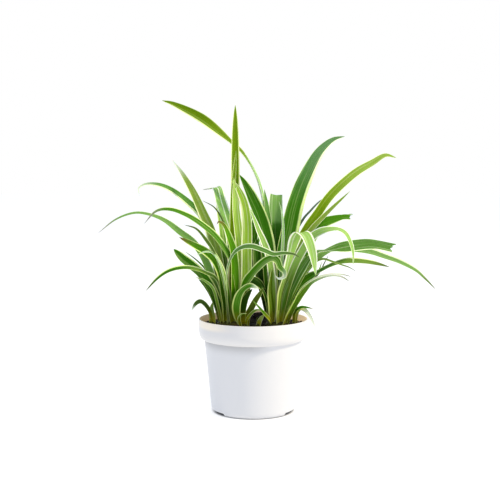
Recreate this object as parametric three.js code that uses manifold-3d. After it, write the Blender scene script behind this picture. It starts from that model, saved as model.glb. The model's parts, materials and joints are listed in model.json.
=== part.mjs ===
// A spider plant in a 12 cm nursery pot. Millimetres, +Z up, origin at the centre of the pot's foot.
// Two crowns, three young plants and a short shoot stand in holes in the soil; each is one grown piece.

import * as THREE from 'three';
import { mergeVertices } from 'three/addons/utils/BufferGeometryUtils.js';
import Module from 'manifold-3d';

const wasm = await Module();
wasm.setup();

// ---------------------------------------------------------------- driving dimensions

const CLEARANCE = 0.3; // between two touching pieces

const POT = {
  height: 102,
  rimRadius: 60,
  bandBottom: 79.6, // where the rim band ends on the body
  bandFull: 90, // height from which the band has its full radius
  bandFootRadius: 54.5,
  bodyTopRadius: 53.7, // just under the band
  bodyFootRadius: 46.6,
  footOuter: 43.6,
  footInner: 40.6,
  cornerHeight: 7,
  shadowStep: 0.4, // the crisp step under the band
  wall: 1.5,
  floorUnder: 3.6, // height of the raised floor's underside
  pad: { radius: 13, slope: 1.5, inset: 1 }, // the floor's middle, which comes down to the ground
  innerCorner: 3, // height of the inner corner at the floor
  lip: 0.8, // rounding of the rim's edge
  lipInset: 0.28, // how far the rim's top edge is drawn in on both sides
  sides: 52,
};

const BAND_LAG = 1; // the band widens this much higher on the inside than on the outside

const FOOT_NOTCH = { height: 3.3, width: 21, reach: 16, angles: [92, 212, 332] };
const DRAIN = { radius: 3.4, circle: 25, count: 6, sides: 14, cutLength: 10 };

const SOIL = {
  top: 95,
  edgeDrop: 1.5, // how much lower it lies against the pot's wall
  sides: 40,
  rings: [48, 32, 16],
  unevenness: 0.7,
  mouth: { spread: 1.2, depth: 2.4 }, // the dip round each base
  mound: { x: 8, y: 48, height: 6.5, spread: 13 }, // heaped up at the back, between the crowns
};
const LUMPS = { count: 6, smallest: 1.1, largest: 2.6, reach: 53, seed: 7, shape: [1, 0.8, 0.6] };

const BLADE = { thickness: 0.75, baseShare: 0.55, baseSpan: 0.28, tipWidth: 0.9, tipRounding: 0.8 };
const FOLD = { base: 30, tip: 9, span: 0.5 }; // how far the blade's two halves fold up, in degrees
const SPAN_STEPS = 8; // fine steps along the curve between two points of a leaf's path
const RING_EVERY = { few: 4, many: 8 }; // fine steps between rings, on leaves with few points and with many
const MANY_POINTS = 6;

// A leaf's path is written as seen in the front view: how far across and how far up a point appears
// on the plane through the pot's axis, then its real depth behind that plane (towards the viewer is
// negative). The eye of that view stands here, and a point moves along its line of sight to its depth.
const EYE = { x: -3.6, distance: 1000, height: 255 };

// Fleshy bases: centre, half-widths and the height of the top.
const STOCKS = {
  crown_left: { x: -25, y: 0, halfX: 16, halfY: 12.5, bottom: 58, top: 100 },
  crown_right: { x: 27, y: 0, halfX: 14, halfY: 12.5, bottom: 58, top: 100 },
  plantlet_left: { x: -46, y: -6, halfX: 4.6, halfY: 4.6, bottom: 72, top: 99 },
  plantlet_front: { x: -9, y: -22, halfX: 6, halfY: 4.6, bottom: 72, top: 99 },
  plantlet_right: { x: 46.5, y: -4, halfX: 4.4, halfY: 4.4, bottom: 72, top: 99 },
  shoot_middle: { x: 6, y: -13, halfX: 3.6, halfY: 3, bottom: 76, top: 98 },
};
const STOCK_SIDES = 12;
// Their outline, as shares of the half-width and of the height from the bottom to the shoulder.
const STOCK_SHAPE = {
  tip: 0.35,
  waist: 0.75,
  waistHeight: 0.45,
  shoulderDrop: 6,
  crown: 0.8,
  crownDrop: 1.5,
  top: 0.4,
};

// Each leaf: full width, the compass direction it leans to (0 right, 90 back, 180 left, 270 front),
// the roll of its upper face about the midrib in degrees, how late it tapers, how much of the width
// a blunt tip keeps, and its path of [across, up, depth] points, with a fourth number where the roll
// differs there.
const LEAVES = {
  crown_left: [
    // the upright middle
    { name: 'tall_back', width: 10, lean: 90, roll: 0, taper: 9,
      path: [
        [-22, 88, 4], [-20, 150, 7], [-20, 205, 11], [-19.5, 255, 17], [-19.5, 300, 25],
        [-19.5, 334, 33],
      ] },
    { name: 'tall_front', width: 7, lean: 90, roll: 0, taper: 5,
      path: [[-25, 88, -1], [-23, 160, 0], [-22.5, 215, 3], [-21.5, 250, 7], [-18.5, 285, 12]] },
    { name: 'pale_inner', width: 10, lean: 90, roll: 0, taper: 6,
      path: [
        [-17, 88, -5], [-14, 140, -9], [-13, 170, -10], [-16, 197, -9], [-19, 225, -6], [-21, 256, -1],
      ] },
    { name: 'pale_broad', width: 12.5, lean: 90, roll: 0, taper: 6,
      path: [
        [-17, 88, -3], [-15, 99, -5], [-8, 140, -12], [-7, 180, -13], [-7, 207, -11], [-10, 228, -8],
        [-16, 243, -4], [-24, 254, 1],
      ] },
    { name: 'folded_top', width: 13.5, lean: 110, roll: 0, taper: 12,
      path: [
        [-26, 88, 4], [-22, 150, 2], [-24, 190, 4], [-30, 212, 10], [-36, 232, 20], [-39.5, 244.5, 31],
        [-45, 244, 42], [-55, 243, 50],
      ] },
    { name: 'thin_left', width: 5, lean: 180, roll: -45, taper: 3,
      path: [
        [-24, 88, 0], [-23, 150, 4], [-27, 190, 6], [-33, 208, 4], [-42, 223, 2], [-55, 231, 4],
      ] },
    { name: 'bright_short', width: 11, lean: 180, roll: -70, taper: 4,
      path: [
        [-23, 88, -5], [-20, 140, -12], [-21, 172, -14], [-25, 188, -16], [-31, 203, -18],
        [-37, 208, -19], [-40, 205, -20],
      ] },
    { name: 'inner_upright', width: 12, lean: 75, roll: 10, taper: 7,
      path: [
        [-16, 88, 5], [-12, 120, 4.5], [-6, 150, 6], [-1.5, 178, 8.5], [1.5, 204, 11.5],
        [3, 222, 14.5],
      ] },
    // arching to the left
    { name: 'left_highest', width: 13.5, lean: 150, roll: -60, taper: 2.9,
      path: [
        [-30, 88, 5], [-33, 125, 6], [-38, 160, 8], [-46, 195, 12], [-55, 217, 18], [-65.5, 240, 28],
        [-77, 260, 38], [-88, 275, 46],
      ] },
    { name: 'left_hooked', width: 11, lean: 165, roll: -62, taper: 2.6,
      path: [
        [-33, 88, 6], [-36, 140, 14], [-43.5, 187, 26], [-55.5, 213.5, 34], [-72, 230, 38],
        [-88, 242, 40], [-102, 248, 42], [-116, 249, 42], [-124.5, 244.5, 40], [-124, 236, 38],
      ] },
    { name: 'left_bright', width: 9.5, lean: 200, roll: -72, taper: 2.6,
      path: [
        [-21, 88, -3], [-18, 130, -8], [-22, 160, -12], [-30, 177, -16], [-42, 193, -22],
        [-56, 205, -28], [-72, 215, -34], [-90, 221.5, -40], [-106, 219.5, -44], [-119, 206, -46],
      ] },
    { name: 'left_longest', width: 9.5, lean: 180, roll: -80, taper: 2.1,
      path: [
        [-32, 88, -2], [-40, 130, 2], [-52, 165, 4], [-65, 185, 6], [-80, 197, 6, -80],
        [-96, 209, 4, -50], [-112, 215.5, 0, -28], [-130, 217.5, -4, -28], [-150, 210.5, -8, -30],
        [-169, 196, -12, -40],
      ] },
    { name: 'left_pale_front', width: 11, lean: 200, roll: -72, taper: 1.7,
      path: [
        [-28, 88, -6], [-28, 115, -12], [-30, 135, -15], [-35, 156, -19], [-42, 173, -24, -40],
        [-51, 187, -29], [-62, 200, -34], [-75, 204.5, -38],
      ] },
    { name: 'left_brown_tip', width: 10.5, lean: 190, roll: -72, taper: 6,
      path: [
        [-30, 88, -4], [-32, 120, -8], [-35, 148, -10], [-42, 165, -13], [-52, 175, -17],
        [-66, 183, -22], [-81, 191, -27],
      ] },
    { name: 'left_small_pale', width: 4.5, lean: 200, roll: -50, taper: 4,
      path: [
        [-27, 88, -7], [-30, 130, -17], [-36, 160, -23], [-44, 173, -27], [-53, 175, -30],
        [-63, 171, -33],
      ] },
    { name: 'left_dark', width: 10.5, lean: 180, roll: -72, taper: 14,
      path: [
        [-33, 88, 0], [-37.5, 112, 0], [-46, 135, 0], [-57, 151, -2], [-68, 161, -4], [-77, 168, -6],
        [-87, 178, -8],
      ] },
    { name: 'left_low_arch', width: 7.2, lean: 200, roll: -42, taper: 4,
      path: [
        [-33, 88, -4], [-34, 120, -10], [-40, 144, -14], [-52, 152, -20], [-66, 157, -26],
        [-80, 157.5, -31], [-94, 153.5, -36], [-106, 145, -40], [-118, 132, -44],
      ] },
    { name: 'left_thread', width: 3.2, lean: 170, roll: -40, taper: 4,
      path: [[-33, 88, 3], [-40, 130, 4], [-50, 152, 6], [-60, 164, 8], [-74, 175, 10]] },
    { name: 'left_low_pale', width: 5.5, lean: 195, roll: -55, taper: 4,
      path: [[-34, 88, -3], [-39, 115, -10], [-44, 134, -14], [-53, 143, -18], [-63, 147, -22]] },
    { name: 'left_low_dark', width: 8, lean: 180, roll: -65, taper: 4,
      path: [[-34, 88, 3], [-38.5, 110, 3], [-43.5, 124, 2], [-51, 136, 0], [-60, 145, -2]] },
    // arching to the front
    { name: 'front_arch_high', width: 7.2, lean: 320, roll: 62, taper: 8,
      path: [
        [-24, 88, -6], [-28, 125, -18], [-28.5, 152, -27], [-23, 170.5, -35], [-14, 179, -42],
        [-2, 181, -49], [12, 176.5, -55], [22, 172.5, -58], [33, 173.5, -61], [44, 172.5, -63],
        [51, 168.5, -65],
      ] },
    { name: 'front_arch_curled', width: 16, lean: 310, roll: 75, taper: 2,
      path: [
        [-18, 88, 0], [-16.5, 100, -3], [-14, 115, -11], [-9, 138, -22], [-1.5, 150, -32],
        [6.5, 159, -38], [14, 165.5, -43], [21.5, 168, -47], [26.5, 165, -50], [29.5, 158, -52],
        [34, 153, -54], [34, 147.5, -55], [28, 145.5, -54], [24, 149, -52],
      ] },
    // leaning to the back
    { name: 'back_fall_1', width: 9, lean: 105, roll: 15, taper: 4,
      path: [
        [-26, 88, 7], [-29, 135, 20], [-32, 168, 36], [-36, 188, 56], [-40, 192, 78], [-43, 182, 98],
      ] },
    { name: 'back_fall_2', width: 10, lean: 80, roll: -15, taper: 4,
      path: [
        [-22, 88, 6], [-21, 99, 9], [-18, 128, 26], [-12, 150, 52], [-8, 154, 82], [-7, 144, 110],
        [-8, 122, 132],
      ] },
    { name: 'back_fall_3', width: 9, lean: 60, roll: 15, taper: 4,
      path: [
        [-19, 88, 7], [-15, 140, 16], [-10, 185, 30], [-4, 212, 50], [2, 222, 72], [7, 216, 92],
      ] },
    { name: 'back_high', width: 9.5, lean: 110, roll: -10, taper: 4,
      path: [
        [-24, 88, 6], [-28, 150, 14], [-33, 196, 26], [-37, 220, 44], [-39, 231, 60], [-41, 228, 78],
      ] },
    { name: 'back_low', width: 8, lean: 115, roll: 0, taper: 4,
      path: [
        [-30, 88, 6], [-32, 99, 8], [-37, 116, 22], [-41, 132, 40], [-43, 136, 58], [-44, 128, 74],
      ] },
  ],
  crown_right: [
    // the upright middle
    { name: 'long_sweep', width: 13, lean: 160, roll: 0, taper: 9,
      path: [
        [20, 88, 8], [16, 150, 14], [13, 205, 22], [8, 241, 31, 20], [-0.5, 264.5, 38, 5],
        [-12.5, 283, 44, 0], [-25, 294.5, 48, -10], [-40, 307.5, 52, -35], [-57.5, 321, 56, -75],
        [-84.5, 334.5, 60, -70], [-98.5, 339, 62, -60],
      ] },
    { name: 'sweep_thread', width: 3.2, lean: 150, roll: -30, taper: 4,
      path: [[24, 88, 9], [19, 150, 18], [15, 210, 28], [8, 248, 34], [-2, 270, 38], [-9, 282, 41]] },
    { name: 'dark_upright', width: 16.5, lean: 150, roll: -55, taper: 6,
      path: [
        [22, 88, -1], [20, 130, -4], [17, 168, -2], [14, 192, 1], [7, 216, 4], [-1, 234, 6],
        [-8, 248, 7], [-15, 259, 8],
      ] },
    { name: 'pale_upright', width: 10, lean: 190, roll: -80, taper: 4,
      path: [
        [21, 88, -6], [21, 130, -12], [18, 165, -16], [12, 184, -20], [6, 198, -22], [1, 211, -23],
        [-4, 223, -23],
      ] },
    { name: 'spike', width: 9.5, lean: 110, roll: -10, taper: 5,
      path: [[24, 88, 4], [21.5, 150, 8], [17, 200, 11], [15, 222, 12], [12, 243, 13]] },
    { name: 'broad_folded_back', width: 16, lean: 90, roll: 0, taper: 10,
      path: [
        [25, 88, 2], [25, 150, 6], [24.5, 205, 12], [24.5, 228, 18], [25, 237, 27], [25, 232, 37],
        [25, 215, 46],
      ] },
    { name: 'narrow_upright', width: 4, lean: 90, roll: 0, taper: 4,
      path: [[28, 88, 0], [31, 160, 2], [32.5, 190, 3], [32.5, 206, 4], [31, 219, 5], [28, 230, 6]] },
    { name: 'right_tallest', width: 21, lean: 20, roll: 75, taper: 3.6,
      path: [
        [29.5, 88, 3], [31, 130, 3], [34.5, 170, 4], [40.3, 200, 7], [44.3, 220, 10], [50.6, 241, 15],
        [58.6, 260, 21], [68, 278, 28], [77, 289.3, 34], [87.3, 297.3, 39], [99, 300.5, 43],
      ] },
    // arching to the right
    { name: 'right_long', width: 10, lean: 15, roll: 70, taper: 10,
      path: [
        [33, 88, -1], [36, 130, -2], [46, 175, 0], [59, 201, 4], [69.5, 216, 8], [82, 234, 14],
        [97, 249.5, 21], [113, 262.5, 28], [129, 272, 34], [143, 280, 38], [155, 277.5, 41],
      ] },
    { name: 'right_strand', width: 7, lean: 10, roll: 55, taper: 5,
      path: [
        [34, 88, -5], [40, 140, -6], [50, 180, -5], [64, 200, -3], [75, 212, 0], [85, 222, 3],
        [95, 231.5, 6], [105, 241, 9],
      ] },
    { name: 'right_thread', width: 3.2, lean: 40, roll: 30, taper: 8,
      path: [
        [31, 88, 8], [38, 150, 14], [46, 193, 20], [54, 210, 24], [62, 219.5, 28], [71, 229, 32],
        [82, 237, 36],
      ] },
    { name: 'right_wedge', width: 15.4, lean: 5, roll: 75, taper: 6, blunt: 0.4,
      path: [
        [33, 88, -4], [38, 130, -6], [48, 160, -6], [57, 180, -4], [66, 196, -2], [76, 206, 0],
        [88, 210.5, 2], [98, 213, 4], [106, 213, 6],
      ] },
    { name: 'right_wedge_thread', width: 3.6, lean: 10, roll: 40, taper: 5,
      path: [
        [35, 88, 3], [48, 155, 8], [67, 194, 10], [81, 209.5, 10], [94, 213.5, 10], [108, 217, 10],
      ] },
    { name: 'front_folded', width: 16.5, lean: 312, roll: -12, taper: 4.5,
      path: [
        [28, 88, -6, 40], [30, 125, -14, 42], [36, 150, -20, 34], [42, 174, -26, 10],
        [46.5, 189.5, -32], [51, 196, -38, -5], [57.5, 193, -46, 15], [62.5, 182, -50, 28],
        [66, 168, -52, 28], [68.5, 149, -52, 28],
      ] },
    { name: 'right_hoop', width: 10, lean: 350, roll: 75, taper: 5,
      path: [
        [29, 88, -4], [36, 130, -8], [45, 158, -12], [55, 178, -16], [64, 191, -20, 75],
        [73, 197, -24, 65], [83, 199.5, -28, 35], [93, 199.5, -31, 15], [101, 195, -33, 20],
        [106, 186, -34, 25], [109, 175, -34, 30], [109.5, 161, -33, 30],
      ] },
    { name: 'right_flat', width: 13.2, lean: 5, roll: 65, taper: 14, blunt: 0.82,
      path: [
        [31, 88, -6], [38, 125, -9], [45, 143, -10], [53, 158, -10, 60], [62, 170, -9, 35],
        [71, 175, -8, 8], [80, 176, -6, 8], [90, 178, -3, 35], [102, 180.5, 0, 75],
        [116, 182.5, 3, 78], [132, 183, 6, 78], [152.5, 179, 9, 78],
      ] },
    { name: 'right_farthest', width: 11, lean: 10, roll: 55, taper: 3.5,
      path: [
        [31, 88, 4], [33.5, 101, 5], [42, 125, 10], [55, 152, 14], [70, 169, 18], [84, 176, 22, 20],
        [98, 179, 24], [112, 178, 26], [128, 175.5, 26], [146, 169.5, 26], [162, 163.5, 24],
        [178, 155, 22], [189, 145, 20], [200, 134, 18],
      ] },
    { name: 'right_low_arch', width: 11.5, lean: 0, roll: 65, taper: 6,
      path: [
        [33, 88, 0], [38, 112, 0], [46, 130, 0], [54, 141, 0, 60], [62, 147.5, 0, 45],
        [72, 153, 0, 12], [82, 158.5, 0, 12], [92, 162.5, 0, 20], [105, 165, -1, 30],
        [120, 164.5, -2, 35], [135, 162, -4, 35], [149, 158.5, -6, 35],
      ] },
    { name: 'right_low_thread', width: 4, lean: 345, roll: 45, taper: 4,
      path: [
        [32, 88, -5], [42, 120, -14], [55, 148, -20], [66, 162, -24], [76, 167, -27], [86, 164.5, -30],
        [96, 161, -32], [105, 158, -34], [112, 154, -35],
      ] },
    { name: 'right_pale_edge', width: 6, lean: 330, roll: 30, taper: 4,
      path: [
        [30, 88, -7], [37, 105, -14], [45, 121, -18], [52, 134, -22], [60, 141, -26], [72, 147.5, -31],
        [86, 150.5, -36], [98, 150, -40], [107, 148, -43],
      ] },
    { name: 'right_lowest', width: 9, lean: 345, roll: 60, taper: 3,
      path: [
        [35, 88, -3], [43, 110, -8], [50, 123, -11], [58, 134, -14, 50], [66, 142, -18, 30],
        [78, 147.5, -22, 25], [89, 149, -25, 25], [98, 147, -28, 25], [105, 143, -30, 25],
      ] },
    { name: 'right_stalk', width: 2.6, lean: 20, roll: 30, taper: 5,
      path: [
        [32, 88, 6], [35, 101, 7], [50, 125, 14], [64, 142, 18], [73, 153, 20], [78, 163, 21],
        [82, 171, 22],
      ] },
    { name: 'right_bud', width: 3.4, lean: 20, roll: 50, taper: 5,
      path: [
        [31.5, 88, 6], [34, 101, 7], [52, 128, 16], [66, 146, 20], [72, 155, 21], [75, 164, 22],
      ] },
    // low and short, towards the gap between the crowns
    { name: 'gap_pale', width: 4.5, lean: 200, roll: -60, taper: 4,
      path: [[20, 88, -5], [19, 98, -12], [13, 106, -22], [6, 114, -32], [0, 121, -37]] },
    { name: 'gap_edged', width: 5.5, lean: 190, roll: -70, taper: 4,
      path: [[19, 88, -4], [16, 112, -14], [13, 127, -17], [9, 137, -19]] },
    { name: 'gap_dark', width: 12, lean: 190, roll: -75, taper: 8,
      path: [
        [20, 88, -2], [18, 99, -6, -60], [15, 118, -12, -30], [10, 134, -18, -40],
        [3, 142, -18.5, -75], [-5, 144.5, -17.2, -88], [-12, 144.5, -16.8, -88],
      ] },
    { name: 'front_olive', width: 9.5, lean: 300, roll: 30, taper: 5,
      path: [
        [21, 88, -3], [21, 99, -8], [20, 115, -16], [18.5, 132, -18], [19.5, 145, -18],
        [20.5, 157, -17],
      ] },
    { name: 'front_stub', width: 3.8, lean: 270, roll: 0, taper: 4,
      path: [[27, 88, -6], [26.5, 105, -13], [27, 122, -14]] },
    { name: 'inner_dark', width: 13, lean: 100, roll: -10, taper: 7,
      path: [[21, 88, 4], [16, 118, 0], [11, 138, -2], [6.5, 157, -3], [4, 176, -1.5], [4, 190, 0]] },
    // leaning to the back
    { name: 'back_fall_4', width: 10, lean: 75, roll: 10, taper: 4,
      path: [
        [26, 88, 7], [27, 130, 20], [30, 158, 38], [34, 172, 60], [38, 170, 84], [41, 154, 106],
      ] },
    { name: 'back_fall_5', width: 9, lean: 85, roll: -10, taper: 4,
      path: [
        [29, 88, 6], [30, 99, 9], [32, 125, 24], [36, 142, 48], [38, 144, 76], [38, 130, 102],
        [36, 104, 124],
      ] },
    { name: 'back_fall_6', width: 9, lean: 110, roll: -20, taper: 4,
      path: [
        [22, 88, 6], [21.5, 99, 9], [20, 140, 20], [17, 172, 38], [12, 190, 60], [8, 194, 84],
        [5, 182, 106],
      ] },
    { name: 'back_tall', width: 10, lean: 95, roll: 0, taper: 4,
      path: [[28, 88, 6], [26, 150, 14], [24, 200, 26], [21, 224, 44], [19, 230, 64], [18, 222, 84]] },
    { name: 'back_side', width: 8.5, lean: 65, roll: 10, taper: 4,
      path: [
        [29, 88, 4], [31, 99, 7], [38, 115, 20], [45, 134, 38], [49, 146, 58], [51, 146, 78],
        [52, 136, 96],
      ] },
  ],
  plantlet_left: [
    { name: 'arch', width: 7, lean: 200, roll: -55, taper: 4,
      path: [
        [-46, 88, -6], [-46, 102, -7], [-50, 113, -9], [-57, 120, -12], [-63, 118, -15],
        [-68, 110, -17],
      ] },
    { name: 'upright', width: 7.5, lean: 100, roll: 0, taper: 4,
      path: [[-46, 88, -5], [-45, 100, -6], [-46, 110, -6], [-45, 119, -4]] },
    { name: 'back', width: 5.5, lean: 140, roll: -10, taper: 4,
      path: [[-46, 88, -4], [-45.5, 99, -3], [-45, 106, 2], [-46, 112, 8], [-49, 115, 13]] },
  ],
  plantlet_front: [
    { name: 'white_edged', width: 12, lean: 330, roll: 80, taper: 4,
      path: [
        [-10.5, 88, -21], [-15.8, 101, -24.8, 100], [-18, 113, -29, 110], [-16, 125, -33, 100],
        [-10.5, 133.5, -36], [-3, 137.5, -39], [6.5, 134, -41],
      ] },
    { name: 'dark', width: 7, lean: 0, roll: 80, taper: 5,
      path: [
        [-7, 88, -21], [-6, 104, -24], [-2, 113, -27], [2.5, 121.5, -29], [7, 128.5, -31],
        [12, 136, -32],
      ] },
    { name: 'shaded', width: 8.5, lean: 0, roll: 80, taper: 5,
      path: [[-11, 88, -21], [-12, 108, -24], [-9, 122, -28], [-4.5, 130, -30], [-1, 134, -31]] },
    { name: 'low_arch', width: 4, lean: 0, roll: 50, taper: 4,
      path: [[-7, 88, -23], [-7, 99, -25], [-2, 107, -30], [4, 111, -35], [9, 110, -37]] },
    { name: 'curl', width: 3.4, lean: 270, roll: 20, taper: 4,
      path: [[-12, 88, -22], [-16, 100, -27], [-13, 106, -31], [-7, 107, -33]] },
  ],
  plantlet_right: [
    { name: 'flat', width: 5, lean: 0, roll: 40, taper: 3,
      path: [
        [46, 88, -5], [45, 103, -6], [47, 110.5, -7], [53, 114, -8], [60, 113.5, -8], [66, 112, -8],
      ] },
    { name: 'over_rim', width: 5, lean: 0, roll: 50, taper: 4,
      path: [
        [47, 88, -3], [47.5, 104, -3], [51, 112, -4], [56, 111.5, -6], [61, 106, -8], [65, 99, -9],
        [68.5, 91, -9],
      ] },
    { name: 'upright', width: 6, lean: 60, roll: 20, taper: 4,
      path: [[46.5, 88, -2], [46, 102, -1], [46.5, 112, 1], [48, 119, 4]] },
  ],
  shoot_middle: [
    { name: 'pale', width: 6.4, lean: 350, roll: 70, taper: 4,
      path: [[5, 88, -13], [7, 98, -15], [12, 106, -17]] },
    { name: 'sheath', width: 4, lean: 180, roll: -60, taper: 4,
      path: [[6, 88, -12], [5.5, 97, -13], [4, 103, -14]] },
  ],
};

// ---------------------------------------------------------------- helpers

const WELD = 1e-4; // corners closer than this are one
const UP = new THREE.Vector3(0, 0, 1);
const turn = THREE.MathUtils.degToRad;

/** A closed three.js geometry as a solid that can be joined and cut. */
function solid(geometry) {
  const plain = geometry.index ? geometry.clone() : geometry;
  plain.deleteAttribute('normal');
  plain.deleteAttribute('uv');
  const merged = mergeVertices(plain, WELD);
  return new wasm.Manifold(new wasm.Mesh({
    numProp: 3,
    vertProperties: new Float32Array(merged.attributes.position.array),
    triVerts: new Uint32Array(merged.index.array),
  }));
}

/** The solid as a named mesh; where joining left scraps or sealed pockets, only the body stays. */
function namedMesh(name, body, material) {
  const whole = body.decompose().sort((a, b) => b.volume() - a.volume())[0];
  const { vertProperties, triVerts } = whole.getMesh();
  const geometry = new THREE.BufferGeometry();
  geometry.setAttribute('position', new THREE.BufferAttribute(vertProperties, 3));
  geometry.setIndex(new THREE.BufferAttribute(triVerts, 1));
  geometry.computeVertexNormals();
  const mesh = new THREE.Mesh(geometry, material);
  mesh.name = name;
  return mesh;
}

/** A turned solid about +Z from a closed [radius, height] outline that runs counter-clockwise. */
function turned(outline, sides) {
  const points = outline.map(([radius, height]) => new THREE.Vector2(radius, height));
  return new THREE.LatheGeometry(points, sides).rotateX(Math.PI / 2);
}

/** Points on a quarter of an ellipse that bulges outward, from one corner of the outline to the next. */
function quarter(from, to, steps) {
  const points = [];
  for (let i = 1; i <= steps; i += 1) {
    const angle = (i / steps) * Math.PI / 2;
    points.push([
      from[0] + (to[0] - from[0]) * Math.sin(angle),
      from[1] + (to[1] - from[1]) * (1 - Math.cos(angle)),
    ]);
  }
  return points;
}

/** Seeded random numbers from 0 to 1. */
function seeded(seed) {
  let state = seed;
  return () => {
    state = (state * 1664525 + 1013904223) % 4294967296;
    return state / 4294967296;
  };
}

// ---------------------------------------------------------------- pot

/** The outer side of the pot from the foot to the rim, as [radius, height] points. */
function potOuter() {
  const foot = [POT.footOuter, 0];
  const corner = [POT.bodyFootRadius, POT.cornerHeight];
  const bandFoot = [POT.bandFootRadius, POT.bandBottom];
  const bandFull = [POT.rimRadius, POT.bandFull];
  return [
    foot,
    ...quarter(foot, corner, 3),
    [POT.bodyTopRadius, POT.bandBottom - POT.shadowStep],
    bandFoot,
    ...quarter(bandFoot, bandFull, 5),
    [POT.rimRadius, POT.height - POT.lip],
    [POT.rimRadius - POT.lipInset, POT.height],
  ];
}

/** The inner side from the floor's middle to the rim, moved in from the wall by an extra gap. */
function potInner(gap) {
  const inset = POT.wall + gap;
  const floor = POT.floorUnder + POT.wall + gap;
  const pad = POT.pad.radius - POT.pad.inset - gap;
  const shoulder = [POT.bandFootRadius - inset, POT.bandBottom + BAND_LAG];
  const bandFull = [POT.rimRadius - inset, POT.bandFull + BAND_LAG];
  return [
    [0, POT.wall + gap],
    [pad, POT.wall + gap],
    [pad + POT.pad.slope, floor],
    [POT.footOuter - gap, floor],
    [POT.bodyFootRadius - inset, floor + POT.innerCorner],
    shoulder,
    ...quarter(shoulder, bandFull, 3),
  ];
}

function makePot() {
  const wallRadius = POT.rimRadius - POT.wall;
  const outline = [
    [0, 0],
    [POT.pad.radius, 0],
    [POT.pad.radius + POT.pad.slope, POT.floorUnder],
    [POT.footInner, POT.floorUnder],
    [POT.footInner, 0],
    ...potOuter(),
    [wallRadius + POT.lipInset, POT.height],
    [wallRadius, POT.height - POT.lip],
    ...potInner(0).reverse(),
  ];
  let pot = solid(turned(outline, POT.sides));

  for (const angle of FOOT_NOTCH.angles) {
    const notch = new THREE.BoxGeometry(FOOT_NOTCH.reach, FOOT_NOTCH.width, FOOT_NOTCH.height * 2);
    notch.translate(POT.footOuter, 0, 0).rotateZ(turn(angle));
    pot = pot.subtract(solid(notch));
  }

  for (let i = 0; i < DRAIN.count; i += 1) {
    const hole = new THREE.CylinderGeometry(DRAIN.radius, DRAIN.radius, DRAIN.cutLength, DRAIN.sides);
    hole.rotateX(Math.PI / 2).translate(DRAIN.circle, 0, POT.floorUnder);
    hole.rotateZ(turn((360 / DRAIN.count) * (i + 0.5)));
    pot = pot.subtract(solid(hole));
  }
  return pot;
}

// ---------------------------------------------------------------- fleshy bases and soil

/** A tapered base, round or oval, that widens up to the soil's level and is domed on top. */
function stockGeometry(stock, gap) {
  const { bottom, top } = stock;
  const shoulder = top - STOCK_SHAPE.shoulderDrop;
  const outline = [
    [0, bottom - gap],
    [STOCK_SHAPE.tip, bottom - gap],
    [STOCK_SHAPE.waist, bottom + (shoulder - bottom) * STOCK_SHAPE.waistHeight],
    [1, shoulder],
    [STOCK_SHAPE.crown, top - STOCK_SHAPE.crownDrop + gap],
    [STOCK_SHAPE.top, top + gap],
    [0, top + gap],
  ];
  return turned(outline, STOCK_SIDES)
    .scale(stock.halfX + gap, stock.halfY + gap, 1)
    .translate(stock.x, stock.y, 0);
}

/** The shallow dip round a base, where its leaves spread just above the soil. */
function mouthGeometry(stock) {
  const { spread, depth } = SOIL.mouth;
  return new THREE.CylinderGeometry(1, 0.9, 2 * depth, STOCK_SIDES)
    .rotateX(Math.PI / 2)
    .scale(stock.halfX + spread, stock.halfY + spread, 1)
    .translate(stock.x, stock.y, SOIL.top);
}

/** Height of the soil's uneven top above its mean level. */
function soilRelief(x, y) {
  const waves = Math.sin(x * 0.21 + 1.3) * Math.cos(y * 0.17) + 0.6 * Math.sin(x * 0.09 - y * 0.31);
  const { mound } = SOIL;
  const away = Math.hypot(x - mound.x, y - mound.y) / mound.spread;
  return SOIL.unevenness * waves + mound.height * Math.exp(-away * away / 2);
}

function makeSoil() {
  const side = potInner(CLEARANCE).filter(([, height]) => height < SOIL.top);
  const rimRadius = POT.rimRadius - POT.wall - CLEARANCE;
  const outline = [
    ...side,
    [rimRadius, SOIL.top - SOIL.edgeDrop],
    ...SOIL.rings.map((radius) => [radius, SOIL.top]),
    [0, SOIL.top],
  ];
  const filling = turned(outline, SOIL.sides);
  const place = filling.attributes.position;
  const edge = SOIL.top - SOIL.edgeDrop / 2;
  for (let i = 0; i < place.count; i += 1) {
    if (place.getZ(i) > edge) {
      place.setZ(i, SOIL.top + soilRelief(place.getX(i), place.getY(i)));
    }
  }
  let soil = solid(filling);

  const draw = seeded(LUMPS.seed);
  for (let i = 0; i < LUMPS.count; i += 1) {
    const angle = draw() * Math.PI * 2;
    const reach = Math.sqrt(draw()) * LUMPS.reach;
    const size = LUMPS.smallest + (LUMPS.largest - LUMPS.smallest) * draw();
    const [x, y] = [Math.cos(angle) * reach, Math.sin(angle) * reach];
    const lump = new THREE.IcosahedronGeometry(size, 0);
    lump.scale(...LUMPS.shape).rotateZ(draw() * Math.PI);
    lump.translate(x, y, SOIL.top + soilRelief(x, y));
    soil = soil.add(solid(lump));
  }

  for (const stock of Object.values(STOCKS)) {
    soil = soil.subtract(solid(stockGeometry(stock, CLEARANCE)));
    soil = soil.subtract(solid(mouthGeometry(stock)));
  }
  return soil;
}

// ---------------------------------------------------------------- leaves

/** A point of a leaf's path, moved along its line of sight from the plane of the axis to its depth. */
function placed([across, up, depth]) {
  const spread = 1 + depth / EYE.distance;
  return new THREE.Vector3(
    EYE.x + (across - EYE.x) * spread,
    depth,
    EYE.height + (up - EYE.height) * spread,
  );
}

/** Share of the full width at a share of the length: narrow at the base, tapered or blunt at the tip. */
function widthShare(along, { taper, blunt = 0 }) {
  const opening = THREE.MathUtils.smoothstep(along, 0, BLADE.baseSpan);
  const base = BLADE.baseShare + (1 - BLADE.baseShare) * opening;
  return base * Math.max(blunt, Math.max(0, 1 - along ** taper) ** BLADE.tipRounding);
}

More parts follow.
